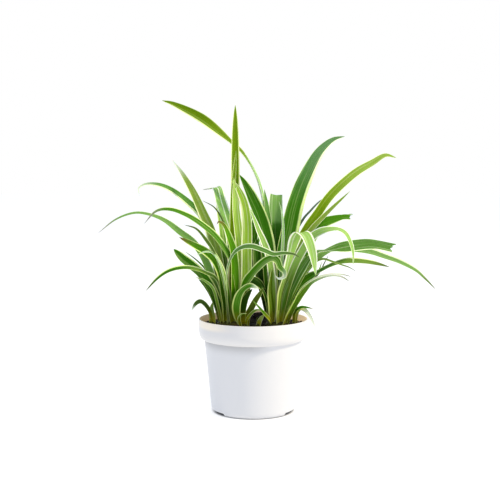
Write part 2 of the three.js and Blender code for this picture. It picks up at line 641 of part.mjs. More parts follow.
/** Places along the midrib, with the direction across the blade and the one its upper face looks to. */
function midribFrames(leaf) {
  const points = leaf.path.map(placed);
  const rolls = leaf.path.map((point) => turn(point[3] ?? leaf.roll));
  const curve = new THREE.CatmullRomCurve3(points, false, 'catmullrom', 0.5);
  const steps = (points.length - 1) * SPAN_STEPS;
  const lean = new THREE.Vector3(Math.cos(turn(leaf.lean)), Math.sin(turn(leaf.lean)), 0);
  const upper = UP.clone().sub(lean);
  const frames = [];
  let length = 0;
  for (let i = 0; i <= steps; i += 1) {
    const place = curve.getPoint(i / steps);
    const tangent = curve.getTangent(i / steps);
    upper.addScaledVector(tangent, -upper.dot(tangent)).normalize();
    const span = Math.min(Math.floor(i / SPAN_STEPS), points.length - 2);
    const roll = THREE.MathUtils.lerp(rolls[span], rolls[span + 1], i / SPAN_STEPS - span);
    const face = upper.clone().applyAxisAngle(tangent, roll);
    if (i > 0) length += place.distanceTo(frames[i - 1].place);
    frames.push({ place, face, across: tangent.clone().cross(face), length });
  }
  return frames.map((frame) => ({ ...frame, along: frame.length / length }));
}

/** A blade folded lightly along its midrib: six vertices a ring, both faces split alike. */
function bladeGeometry(leaf) {
  const every = leaf.path.length < MANY_POINTS ? RING_EVERY.few : RING_EVERY.many;
  const rings = midribFrames(leaf).filter((_, i) => i % every === 0);
  const vertices = [];
  for (const { place, face, across, along } of rings) {
    const half = Math.max(BLADE.tipWidth, leaf.width * widthShare(along, leaf)) / 2;
    const fold = turn(THREE.MathUtils.lerp(FOLD.base, FOLD.tip, Math.min(1, along / FOLD.span)));
    for (const depth of [0, -BLADE.thickness]) {
      for (const side of [-1, 0, 1]) {
        const rise = Math.abs(side) * half * Math.sin(fold) + depth;
        vertices.push(place.clone()
          .addScaledVector(across, side * half * Math.cos(fold))
          .addScaledVector(face, rise));
      }
    }
  }

  // a ring: 0 1 2 on the upper face, 3 4 5 below them
  const index = [];
  const quad = (a, b, c, d) => index.push(a, b, c, a, c, d);
  for (let ring = 0; ring < rings.length - 1; ring += 1) {
    const at = (corner) => ring * 6 + corner;
    const next = (corner) => at(corner) + 6;
    for (const corner of [0, 1]) {
      quad(at(corner), at(corner + 1), next(corner + 1), next(corner));
      index.push(at(corner + 3), next(corner + 4), at(corner + 4));
      index.push(at(corner + 3), next(corner + 3), next(corner + 4));
    }
    quad(at(2), at(5), next(5), next(2));
    quad(at(3), at(0), next(0), next(3));
  }
  const last = (rings.length - 1) * 6;
  for (const corner of [0, 1]) {
    quad(corner, corner + 3, corner + 4, corner + 1);
    quad(last + corner, last + corner + 1, last + corner + 4, last + corner + 3);
  }

  const geometry = new THREE.BufferGeometry().setFromPoints(vertices);
  geometry.setIndex(index);
  return geometry;
}

/** One grown piece: the fleshy base with its leaves, their roots sunk into it. */
function makePlant(name) {
  return LEAVES[name].reduce(
    (plant, leaf) => plant.add(solid(bladeGeometry(leaf))),
    solid(stockGeometry(STOCKS[name], 0)),
  );
}

// ---------------------------------------------------------------- assembly

const FINISHES = {
  pot: new THREE.MeshStandardMaterial({ color: 0xf1efe9, roughness: 0.35, metalness: 0 }),
  soil: new THREE.MeshStandardMaterial({ color: 0x1f150f, roughness: 0.95, metalness: 0 }),
  leaf: new THREE.MeshStandardMaterial({ color: 0x5c8f2e, roughness: 0.5, metalness: 0 }),
};

const group = new THREE.Group();
group.add(namedMesh('pot', makePot(), FINISHES.pot));
group.add(namedMesh('soil', makeSoil(), FINISHES.soil));
for (const name of Object.keys(LEAVES)) {
  group.add(namedMesh(name, makePlant(name), FINISHES.leaf));
}

export default group;
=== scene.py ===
"""Dresses the potted spider plant: fine blades, potting mix, moulded pot, studio light and camera.

Lengths are in millimetres, as in the part's own source, unless a line says metres.
"""

from __future__ import annotations

import json
import logging
import math
import random
from collections.abc import Iterable
from dataclasses import dataclass
from enum import Enum

import bmesh
import bpy
from mathutils import Matrix, Vector, noise

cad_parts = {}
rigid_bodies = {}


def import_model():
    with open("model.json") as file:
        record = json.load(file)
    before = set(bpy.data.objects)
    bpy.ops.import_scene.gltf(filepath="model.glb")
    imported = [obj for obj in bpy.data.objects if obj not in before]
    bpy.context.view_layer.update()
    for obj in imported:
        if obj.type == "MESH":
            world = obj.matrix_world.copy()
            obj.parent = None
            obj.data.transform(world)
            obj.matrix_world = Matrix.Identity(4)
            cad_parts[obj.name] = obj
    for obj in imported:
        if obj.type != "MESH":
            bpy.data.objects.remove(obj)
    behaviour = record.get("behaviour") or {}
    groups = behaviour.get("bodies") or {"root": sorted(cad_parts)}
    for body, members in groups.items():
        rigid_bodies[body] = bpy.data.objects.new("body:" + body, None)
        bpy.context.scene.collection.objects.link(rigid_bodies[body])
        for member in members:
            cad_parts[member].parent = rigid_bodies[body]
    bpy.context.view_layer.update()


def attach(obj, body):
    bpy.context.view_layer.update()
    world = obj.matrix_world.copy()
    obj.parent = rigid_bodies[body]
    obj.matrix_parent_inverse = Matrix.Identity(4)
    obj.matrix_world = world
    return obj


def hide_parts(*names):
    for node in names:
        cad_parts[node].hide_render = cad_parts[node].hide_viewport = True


log = logging.getLogger("spider_plant")

MM = 0.001
BODY = "root"
BLACK = "#000000"
Colour = tuple[float, float, float, float]
Point = tuple[float, ...]


# ---------------------------------------------------------------- small helpers


def paint(code: str) -> Colour:
    """A linear colour from its screen code.

    Args:
        code: The colour as "#rrggbb".

    Returns:
        Red, green, blue and a full alpha.
    """
    channels = [int(code[i : i + 2], 16) / 255 for i in (1, 3, 5)]
    linear = [c / 12.92 if c <= 0.04045 else ((c + 0.055) / 1.055) ** 2.4 for c in channels]
    return linear[0], linear[1], linear[2], 1.0


def blend(first: float, last: float, share: float) -> float:
    """The value a share of the way from the first to the last."""
    return first + (last - first) * share


def blend_colours(first: Colour, last: Colour, share: float) -> Colour:
    """The colour a share of the way from the first to the last."""
    return tuple(blend(a, b, share) for a, b in zip(first, last))


def quarter(start: Point, end: Point, steps: int) -> list[Point]:
    """Points on a quarter of an ellipse that bulges outward.

    Args:
        start: The (radius, height) that the arc leaves level, not repeated.
        end: The (radius, height) that it reaches upright.
        steps: How many points it gets.

    Returns:
        The points after the start.
    """
    angles = [math.pi / 2 * i / steps for i in range(1, steps + 1)]
    return [
        (blend(start[0], end[0], math.sin(a)), blend(start[1], end[1], 1 - math.cos(a)))
        for a in angles
    ]


def set_down(name: str, data: bpy.types.ID) -> bpy.types.Object:
    """Puts a mesh, a lamp or a camera into the scene as an object.

    Args:
        name: The object's name.
        data: What it shows.

    Returns:
        The object.
    """
    thing = bpy.data.objects.new(name, data)
    bpy.context.scene.collection.objects.link(thing)
    return thing


@dataclass(frozen=True)
class Span:
    """A stretch of values, over which something rises or from which something is drawn."""

    low: float
    high: float

    def share(self, value: float) -> float:
        """A smooth rise from 0 at the low end to 1 at the high end."""
        along = min(1.0, max(0.0, (value - self.low) / (self.high - self.low)))
        return along * along * (3 - 2 * along)

    def draw(self, source: random.Random) -> float:
        """An even draw from the stretch."""
        return source.uniform(self.low, self.high)


@dataclass(frozen=True)
class Grain:
    """A noise: how many waves it has to the metre, and how much finer detail."""

    scale: float
    detail: float = 2.0


@dataclass(frozen=True)
class Relief:
    """How strongly a bump bends the surface, and how high it stands, in metres."""

    strength: float
    height: float


# ---------------------------------------------------------------- node trees


class Wire:
    """A socket of a material's node tree that Python arithmetic works on."""

    def __init__(self, bench: Bench, socket: bpy.types.NodeSocket) -> None:
        """Wraps a socket of the bench's tree."""
        self.bench = bench
        self.socket = socket

    def _maths(self, operation: str, first: Wire | float, second: Wire | float) -> Wire:
        """One Math node.

        Args:
            operation: The node's operation.
            first: Its first value.
            second: Its second value.

        Returns:
            The node's result.
        """
        return self.bench.node(
            "ShaderNodeMath", {"operation": operation}, {"Value": first, "Value_001": second}
        )

    def __add__(self, other: Wire | float) -> Wire:
        """self + other."""
        return self._maths("ADD", self, other)

    __radd__ = __add__

    def __sub__(self, other: Wire | float) -> Wire:
        """self - other."""
        return self._maths("SUBTRACT", self, other)

    def __rsub__(self, other: Wire | float) -> Wire:
        """other - self."""
        return self._maths("SUBTRACT", other, self)

    def __mul__(self, other: Wire | float) -> Wire:
        """self * other."""
        return self._maths("MULTIPLY", self, other)

    __rmul__ = __mul__

    def __pow__(self, other: Wire | float) -> Wire:
        """self ** other."""
        return self._maths("POWER", self, other)

    def __lt__(self, other: Wire | float) -> Wire:
        """1 where self is less than other, else 0."""
        return self._maths("LESS_THAN", self, other)


class Bench:
    """Builds one material around a Principled shader."""

    def __init__(self, name: str) -> None:
        """Starts an empty node tree with its shader and output.

        Args:
            name: The material's name.
        """
        self.material = bpy.data.materials.new(name)
        self.material.use_nodes = True
        self.tree = self.material.node_tree
        self.tree.nodes.clear()
        self.shader = self.tree.nodes.new("ShaderNodeBsdfPrincipled")
        output = self.tree.nodes.new("ShaderNodeOutputMaterial")
        self.tree.links.new(self.shader.outputs["BSDF"], output.inputs["Surface"])

    def _feed(self, socket: bpy.types.NodeSocket, value: object) -> None:
        """Links a wire to a socket, or sets the socket's own value.

        Args:
            socket: The socket.
            value: The wire or the value.
        """
        if isinstance(value, Wire):
            self.tree.links.new(value.socket, socket)
        else:
            socket.default_value = value

    def node(
        self,
        kind: str,
        settings: dict[str, object],
        sockets: dict[str, object],
        output: str | int = 0,
    ) -> Wire:
        """Adds one node.

        Args:
            kind: The node's type.
            settings: Its own settings, set before its sockets. A ramp's "stops" are pairs of a
                place and a colour.
            sockets: Values or wires for its inputs, by identifier.
            output: The identifier or the number of the output that is wanted.

        Returns:
            That output as a wire.
        """
        node = self.tree.nodes.new(kind)
        for key, value in settings.items():
            if key == "stops":
                self._set_stops(node.color_ramp, value)
            else:
                setattr(node, key, value)
        for key, value in sockets.items():
            self._feed(next(s for s in node.inputs if s.identifier == key), value)
        if isinstance(output, int):
            return Wire(self, node.outputs[output])
        return Wire(self, next(s for s in node.outputs if s.identifier == output))

    @staticmethod
    def _set_stops(ramp: bpy.types.ColorRamp, stops: Iterable[tuple[float, Colour]]) -> None:
        """Gives a ramp its stops, two or more.

        Args:
            ramp: The ramp, with its two first stops.
            stops: Each stop's place and colour.
        """
        for number, (place, colour) in enumerate(stops):
            stop = ramp.elements[number] if number < 2 else ramp.elements.new(place)
            stop.position = place
            stop.color = colour

    def attribute(self, name: str, output: str | int = "Fac") -> Wire:
        """An attribute of the piece's own mesh."""
        return self.node("ShaderNodeAttribute", {"attribute_name": name}, {}, output)

    def place(self) -> Wire:
        """The object coordinates, in metres."""
        return self.node("ShaderNodeTexCoord", {}, {}, "Object")

    def split(self, vector: Wire) -> tuple[Wire, Wire, Wire]:
        """A vector's three parts.

        Args:
            vector: The vector.

        Returns:
            Its x, y and z.
        """
        x = self.node("ShaderNodeSeparateXYZ", {}, {"Vector": vector}, 0)
        node = x.socket.node
        return x, Wire(self, node.outputs[1]), Wire(self, node.outputs[2])

    def millimetres(self, place: Wire) -> tuple[Wire, Wire, Wire]:
        """The three parts of a place, in millimetres."""
        x, y, z = self.split(place)
        return x * (1 / MM), y * (1 / MM), z * (1 / MM)

    def vector(self, x: Wire | float, y: Wire | float, z: Wire | float) -> Wire:
        """A vector of three values."""
        return self.node("ShaderNodeCombineXYZ", {}, {"X": x, "Y": y, "Z": z})

    def distance(self, x: Wire, y: Wire, centre: tuple[float, float] = (0.0, 0.0)) -> Wire:
        """How far (x, y) is from a centre."""
        off_x, off_y = x - centre[0], y - centre[1]
        return (off_x * off_x + off_y * off_y) ** 0.5

    def grain(self, vector: Wire, grain: Grain) -> Wire:
        """A noise between 0 and 1."""
        values = {"Vector": vector, "Scale": grain.scale, "Detail": grain.detail}
        return self.node("ShaderNodeTexNoise", {}, values)

    def rise(self, value: Wire, low: Wire | float, high: Wire | float) -> Wire:
        """A smooth rise from 0 at low to 1 at high.

        Args:
            value: What rises.
            low: Where the rise starts.
            high: Where it ends.

        Returns:
            The share of the rise.
        """
        return self.node(
            "ShaderNodeMapRange",
            {"interpolation_type": "SMOOTHSTEP"},
            {"Value": value, "From Min": low, "From Max": high},
        )

    def over(self, value: Wire, span: Span) -> Wire:
        """A smooth rise from 0 to 1 over a span."""
        return self.rise(value, span.low, span.high)

    def mix(self, share: Wire | float, first: Wire | Colour, second: Wire | Colour) -> Wire:
        """A colour a share of the way from the first to the second.

        Args:
            share: The share.
            first: The colour at 0.
            second: The colour at 1.

        Returns:
            The colour.
        """
        return self.node(
            "ShaderNodeMix",
            {"data_type": "RGBA"},
            {"Factor_Float": share, "A_Color": first, "B_Color": second},
            "Result_Color",
        )

    def shade(self, colour: Wire, by: Wire | float) -> Wire:
        """A colour made darker or lighter by a factor.

        Args:
            colour: The colour.
            by: The factor.

        Returns:
            The new colour.
        """
        return self.node(
            "ShaderNodeVectorMath", {"operation": "SCALE"}, {"Vector": colour, "Scale": by}
        )

    def bump(self, height: Wire, relief: Relief) -> Wire:
        """A normal bent by a height."""
        values = {"Height": height, "Strength": relief.strength, "Distance": relief.height}
        return self.node("ShaderNodeBump", {}, values)

    def finish(self, **sockets: object) -> bpy.types.Material:
        """Feeds the shader's sockets.

        Args:
            sockets: Values or wires, by the socket's name with its spaces as underscores.

        Returns:
            The finished material.
        """
        for key, value in sockets.items():
            self._feed(self.shader.inputs[key.replace("_", " ")], value)
        return self.material


# ---------------------------------------------------------------- finishes


@dataclass(frozen=True)
class PotPlastic:
    """Smooth white plastic, stained inside the rim, warm on the band, with painted light and shade.

    Attributes:
        inner_radius: The wall within this radius is inner wall,
        inner_foot: from this height up.
        stain: The stain's share everywhere, near the soil, and where the clouds are.
        stain_fade: The heights over which the stain near the soil fades.
        glow: The strength of the inner wall's glow, painted light for daylight through the thin
            wall,
        lit: from its share away from the key lamp to all of it,
        lit_across: over these places from left to right.
        painted_light_centre: The middle of a warm patch of painted light at the band's front left,
        painted_light_reach: how far it reaches,
        painted_light_rise: and the heights over which it comes in; it stands for daylight through
            the wall.
        band_warmth: How far the whole band is tinted warm.
        crease: The heights over which the painted shade under the band deepens up to it,
        painted_shade_across: and the places from left to right, towards the key lamp, over which it
            ends.
    """

    white: str = "#d9dadc"
    warm: str = "#f6ecda"
    stained: str = "#f0d0a2"
    clouds: Grain = Grain(45.0, 3.0)
    roughness: float = 0.34
    cloud_roughness: float = 0.12
    fine: Grain = Grain(900.0)
    fine_relief: Relief = Relief(0.06, 0.0004)
    inner_radius: float = 59.0
    inner_foot: float = 91.0
    stain: tuple[float, float, float] = (0.45, 0.4, 0.2)
    stain_fade: Span = Span(95.5, 101.0)
    # Painted light: the inner wall's glow, for daylight through the thin wall.
    glow: float = 0.5
    lit: float = 0.35
    lit_across: Span = Span(-10.0, 45.0)
    # A warm patch of painted light on the band, for daylight through the thin wall.
    painted_light_centre: tuple[float, float] = (-50.0, -34.0)
    painted_light_reach: Span = Span(0.0, 44.0)
    painted_light_rise: Span = Span(92.0, 97.0)
    painted_light_share: float = 0.9
    band_warmth: float = 0.15
    # The painted shade under the band: its heights, where it ends across, and its strength.
    crease: Span = Span(64.0, 79.4)
    painted_shade_across: Span = Span(-6.0, 22.0)
    painted_shade_strength: float = 0.3

    def _plain(self, bench: Bench, x: Wire, y: Wire, z: Wire) -> Wire:
        """The outside: white, warm band with a painted light patch, painted shade in the crease
        below.

        Args:
            bench: The material's bench.
            x: The place across, in millimetres.
            y: The place in depth.
            z: The height.

        Returns:
            The colour.
        """
        # Painted light: a warm, brighter patch at the band's front left, for daylight shining
        # through the thin wall.
        away = bench.distance(x, y, self.painted_light_centre)
        painted_light = (1 - bench.over(away, self.painted_light_reach)) * bench.over(z, self.painted_light_rise)
        below_band = z < self.crease.high
        share = painted_light * self.painted_light_share + (1 - below_band) * self.band_warmth
        colour = bench.mix(share, paint(self.white), paint(self.warm))
        # Painted shade: darker down into the crease under the band, fading out towards the key
        # lamp's side.
        painted_shade = bench.over(z, self.crease)
        painted_shade = painted_shade * painted_shade * below_band * (1 - bench.over(x, self.painted_shade_across))
        return bench.shade(colour, 1 - painted_shade * self.painted_shade_strength)

    def material(self) -> bpy.types.Material:
        """Builds the node material.

        Returns:
            The material.
        """
        bench = Bench("pot_plastic")
        place = bench.place()
        x, y, z = bench.millimetres(place)
        inside = (bench.distance(x, y) < self.inner_radius) * (1 - (z < self.inner_foot))
        clouds = bench.grain(place, self.clouds)
        everywhere, near_soil, cloudy = self.stain
        low = 1 - bench.over(z, self.stain_fade)
        stain = inside * (everywhere + low * near_soil + clouds * cloudy)
        lit = self.lit + bench.over(x, self.lit_across) * (1 - self.lit)
        return bench.finish(
            Base_Color=bench.mix(stain, self._plain(bench, x, y, z), paint(self.stained)),
            Roughness=self.roughness + (clouds - 0.5) * self.cloud_roughness,
            # Painted light: the inner wall glows as if daylight shone through the thin plastic,
            # more on the key lamp's side.
            Emission_Color=bench.mix(inside * lit, paint(BLACK), paint(self.stained)),
            Emission_Strength=self.glow,
            Normal=bench.bump(bench.grain(place, self.fine), self.fine_relief),
        )


class Earth(Enum):
    """The tones of moist potting mix."""

    DARK = "#0d0806"
    BROWN = "#2c1710"
    PALE = "#6a4230"


@dataclass(frozen=True)
class PottingMix:
    """The ground: dark hollows, brown clods, pale grit."""

    clods: Grain = Grain(260.0, 5.0)
    grit: Grain = Grain(1400.0, 3.0)
    brown_from: Span = Span(0.35, 0.7)
    pale_from: Span = Span(0.66, 0.74)
    pale_share: float = 0.6
    roughness: float = 0.8
    clod_roughness: float = 0.18
    specular: float = 0.25
    relief: Relief = Relief(0.9, 0.0016)
    grit_height: float = 0.6

    def material(self) -> bpy.types.Material:
        """Builds the node material.

        Returns:
            The material.
        """
        bench = Bench("potting_mix")
        place = bench.place()
        clods, grit = bench.grain(place, self.clods), bench.grain(place, self.grit)
        brown = bench.over(clods, self.brown_from)
        colour = bench.mix(brown, paint(Earth.DARK.value), paint(Earth.BROWN.value))
        pale = bench.over(grit, self.pale_from) * self.pale_share
        return bench.finish(
            Base_Color=bench.mix(pale, colour, paint(Earth.PALE.value)),
            Roughness=self.roughness + clods * self.clod_roughness,
            Specular_IOR_Level=self.specular,
            Normal=bench.bump(clods + grit * self.grit_height, self.relief),
        )


@dataclass(frozen=True)
class LooseCrumbs:
    """The crumbs, each with its own tone, and grit on it."""

    grit: Grain = Grain(1100.0, 3.0)
    grit_share: float = 0.2
    brown_at: float = 0.7
    pale_at: float = 0.93
    roughness: float = 0.75
    grit_roughness: float = 0.2
    specular: float = 0.3
    relief: Relief = Relief(0.8, 0.0008)

    def material(self) -> bpy.types.Material:
        """Builds the node material, which reads the tone that each crumb's mesh carries.

        Returns:
            The material.
        """
        bench = Bench("potting_crumbs")
        grit = bench.grain(bench.place(), self.grit)
        tone = bench.attribute("tone") * (1 - self.grit_share) + grit * self.grit_share
        places = zip((0.0, self.brown_at, self.pale_at), Earth)
        stops = [(place, paint(earth.value)) for place, earth in places]
        return bench.finish(
            Base_Color=bench.node("ShaderNodeValToRGB", {"stops": stops}, {"Fac": tone}, "Color"),
            Roughness=self.roughness + grit * self.grit_roughness,
            Specular_IOR_Level=self.specular,
            Normal=bench.bump(grit, self.relief),
        )


@dataclass(frozen=True)
class Veins:
    """A noise drawn out along a blade.

    Attributes:
        across: How many waves it has to the millimetre across the blade.
        onward: How many it has to the metre along it.
        shift: What sets it apart from the others on the same blade.
        detail: How much finer detail it has.
    """

    across: float
    onward: float
    shift: float = 0.0
    detail: float = 2.0


@dataclass(frozen=True)
class LeafSkin:
    """The living skin of every blade: body, pale margins, fine lengthwise lines.

    Attributes:
        border: How the margins' inner border wanders, how far, and how soft it is.
        darkest: The factor of the darkest body,
        line_light: what the fine lines add to it,
        patch_light: and what the broad patches add.
        margin_darkest: The factor of the darkest margin, and what the fine lines add to it.
        streak_from: Where in the streaks' noise the pale comes in.
        light_through: How much light passes through the blade, how far in each colour, in metres.
    """

    roughness: float = 0.5
    patch_roughness: float = 0.16
    margin_roughness: float = 0.05
    specular: float = 0.06
    wander: Grain = Grain(45.0)
    wander_width: float = 0.12
    softness: float = 0.07
    lines: Veins = Veins(1.9, 9.0, detail=3.0)
    streaks: Veins = Veins(0.55, 6.0, 7.0)
    patches: Veins = Veins(0.12, 60.0, 3.0)
    ridges: Veins = Veins(2.6, 4.0, detail=1.0)
    ridge_relief: Relief = Relief(0.35, 0.0004)
    streak_from: Span = Span(0.5, 0.66)
    streak_share: float = 0.75
    darkest: float = 0.64
    line_light: float = 0.48
    patch_light: float = 0.26
    margin_darkest: float = 1.06
    margin_light: float = 0.1
    light_through: float = 0.12
    light_reach: tuple[float, float, float] = (0.4, 1.0, 0.15)
    light_depth: float = 0.0012

    def material(self) -> bpy.types.Material:
        """Builds the node material, which reads what each blade's mesh carries.

        Returns:
            The material.
        """
        bench = Bench("leaf_skin")
        body, edge = bench.attribute("body", "Color"), bench.attribute("edge", "Color")
        across, run, seed = bench.split(bench.attribute("lie", "Vector"))
        left, right, streaked = bench.split(bench.attribute("margins", "Vector"))
        lane = bench.attribute("lane")

        def drawn(veins: Veins) -> Wire:
            """A noise drawn out along the blade."""
            place = bench.vector(lane * veins.across, run * veins.onward, seed + veins.shift)
            return bench.grain(place, Grain(1.0, veins.detail))

        wander = bench.grain(
            bench.vector(seed, run * self.wander.scale, 0.0), Grain(1.0, self.wander.detail)
        )
        border = across + (wander - 0.5) * self.wander_width
        soft = self.softness
        on_left = 1 - bench.rise(border, left - 1 - soft, left - 1 + soft)
        on_right = bench.rise(border, 1 - right - soft, 1 - right + soft)
        margin = bench.node(
            "ShaderNodeMath",
            {"operation": "MAXIMUM", "use_clamp": True},
            {"Value": on_left, "Value_001": on_right},
        )
        lines, patches = drawn(self.lines), drawn(self.patches)
        streak = bench.over(drawn(self.streaks), self.streak_from) * streaked
        colour = bench.mix(streak * self.streak_share, body, edge)
        light = self.darkest + lines * self.line_light + patches * self.patch_light
        pale = bench.shade(edge, self.margin_darkest + lines * self.margin_light)
        rough = (patches - 0.5) * self.patch_roughness + margin * self.margin_roughness
        return bench.finish(
            Base_Color=bench.mix(margin, bench.shade(colour, light), pale),
            Roughness=self.roughness + rough,
            Normal=bench.bump(drawn(self.ridges), self.ridge_relief),
            Specular_IOR_Level=self.specular,
            Subsurface_Weight=self.light_through,
            Subsurface_Radius=self.light_reach,
            Subsurface_Scale=self.light_depth,
        )


@dataclass(frozen=True)
class StudioFloor:
    """A plain pale floor that glows a little, so that it stays white away from the lamps.

    Attributes:
        painted_shadow_fade: The radii over which the glow comes in round the pot's foot; within
        them the floor has a painted contact shadow.
    """

    pale: str = "#b4b4b4"
    white: str = "#ffffff"
    glow: float = 0.68
    # Painted shadow: the glow is left out under the pot's foot.
    painted_shadow_fade: Span = Span(42.5, 47.5)
    clouds: Grain = Grain(3.0)
    roughness: float = 0.85
    cloud_roughness: float = 0.1
    specular: float = 0.1

    def material(self) -> bpy.types.Material:
        """Builds the node material.

        Returns:
            The material.
        """
        bench = Bench("studio_floor")
        place = bench.place()
        x, y, _ = bench.millimetres(place)
        # Painted shadow: no glow under the pot's foot, so a dark contact shadow lies there.
        lit = bench.over(bench.distance(x, y), self.painted_shadow_fade)
        return bench.finish(
            Base_Color=paint(self.pale),
            Roughness=self.roughness + bench.grain(place, self.clouds) * self.cloud_roughness,
            Specular_IOR_Level=self.specular,
            Emission_Color=bench.mix(lit, paint(BLACK), paint(self.white)),
            Emission_Strength=self.glow,
        )


# ---------------------------------------------------------------- looks of the leaves


@dataclass(frozen=True)
class Tint:
    """A leaf's body and the colour of its margins."""

    body: str
    edge: str


class Look(Enum):
    """The greens on the plant."""

    OLIVE = Tint("#658505", "#d8e496")
    BRIGHT = Tint("#549204", "#dcee98")
    GRASS = Tint("#427c08", "#d2e498")
    MOSS = Tint("#6c8c34", "#dde8a8")
    FERN = Tint("#5f963a", "#e2edb8")
    LIME = Tint("#7f9c38", "#e4ecb4")
    BRONZE = Tint("#4a6206", "#c8d488")
    JADE = Tint("#557f4c", "#e6f0ca")
    SAGE = Tint("#86b45c", "#f0f8e2")
    MEADOW = Tint("#7aac32", "#e6f2b0")
    PALE = Tint("#98be3a", "#eef6ba")
    MINT = Tint("#a2cc80", "#f0f8e2")
    MIST = Tint("#6f9a4c", "#dfeec6")
    DEEP = Tint("#326a06", "#cbdf90")
    SHADE = Tint("#264a06", "#b9cc78")
    TEAL = Tint("#527e30", "#dfefc0")
    SLATE = Tint("#6b7d68", "#9fb09a")
    DUSK = Tint("#446022", "#a4b67c")
    CREAM = Tint("#96bf5c", "#f2f8dc")
    SPROUT = Tint("#c6d870", "#f6f8d8")
    FADED = Tint("#dfe4d2", "#f5f6ee")


class Tip(Enum):
    """What the last stretch of a blade turns to."""

    GREEN = ""
    BROWN = "#7a5530"
    GREY = "#a39a90"
    DARK = "#4c5a2c"
    WHITE = "#eef5e4"


@dataclass(frozen=True)
class Leaf:
    """One blade, as seen in the front view.

    Attributes:
        name: What it is called.
        look: Its green.
        width: Its full width.
        lean: The compass direction it leans to: 0 right, 90 back, 180 left, 270 front.
        margins: The pale share of each half, to the left and right of its run.
        streaks: How much the margins' colour shows as streaks inside.
        path: Points across, up and deep, with a roll where it differs there.
        roll: The roll of its upper face about the midrib, in degrees.
        taper: How late it tapers.
        blunt: How much of its width a blunt tip keeps.
        tip: What its tip turns to.
        foot: The green of its lower stretch where that differs.
        change: The share of the length where that stretch ends.
        gradual: The share of the length over which the one green turns to the other.
    """

    name: str
    look: Look
    width: float
    lean: float
    margins: tuple[float, float]
    streaks: float
    path: tuple[Point, ...]
    roll: float = 0.0
    taper: float = 4.0
    blunt: float = 0.0
    tip: Tip = Tip.GREEN
    foot: Look | None = None
    change: float = 0.0
    gradual: float = 0.04


# ---------------------------------------------------------------- the leaves

LEFT_MIDDLE = (
    Leaf("tall_back", Look.OLIVE, 10, 90, (0.16, 0.24), 0.25, taper=9, path=(
        (-22, 88, 4), (-20, 150, 7), (-20, 205, 11), (-19.5, 255, 17), (-19.5, 300, 25),
        (-19.5, 334, 33))),
    Leaf("tall_front", Look.OLIVE, 7, 90, (0.2, 0.16), 0.2, taper=5, path=(
        (-25, 88, -1), (-23, 160, 0), (-22.5, 215, 3), (-21.5, 250, 7), (-18.5, 285, 12))),
    Leaf("pale_inner", Look.PALE, 10, 90, (0.16, 0.12), 0.6, taper=6, path=(
        (-17, 88, -5), (-14, 140, -9), (-13, 170, -10), (-16, 197, -9), (-19, 225, -6),
        (-21, 256, -1))),
    Leaf("pale_broad", Look.PALE, 12.5, 90, (0.24, 0.14), 0.8, taper=6, path=(
        (-17, 88, -3), (-15, 99, -5), (-8, 140, -12), (-7, 180, -13), (-7, 207, -11),
        (-10, 228, -8), (-16, 243, -4), (-24, 254, 1))),
    Leaf("folded_top", Look.SAGE, 13.5, 110, (0.2, 0.2), 0.9, taper=12, tip=Tip.DARK, path=(
        (-26, 88, 4), (-22, 150, 2), (-24, 190, 4), (-30, 212, 10), (-36, 232, 20),
        (-39.5, 244.5, 31), (-45, 244, 42), (-55, 243, 50))),
    Leaf("thin_left", Look.DUSK, 5, 180, (0.1, 0.16), 0.1, roll=-45, taper=3, tip=Tip.DARK, path=(
        (-24, 88, 0), (-23, 150, 4), (-27, 190, 6), (-33, 208, 4), (-42, 223, 2), (-55, 231, 4))),
    Leaf("bright_short", Look.BRIGHT, 11, 180, (0.12, 0.22), 0.2, roll=-70, tip=Tip.BROWN, path=(
        (-23, 88, -5), (-20, 140, -12), (-21, 172, -14), (-25, 188, -16), (-31, 203, -18),
        (-37, 208, -19), (-40, 205, -20))),
    Leaf("inner_upright", Look.GRASS, 12, 75, (0.1, 0.16), 0.3, roll=10, taper=7, path=(
        (-16, 88, 5), (-12, 120, 4.5), (-6, 150, 6), (-1.5, 178, 8.5), (1.5, 204, 11.5),
        (3, 222, 14.5))),
)

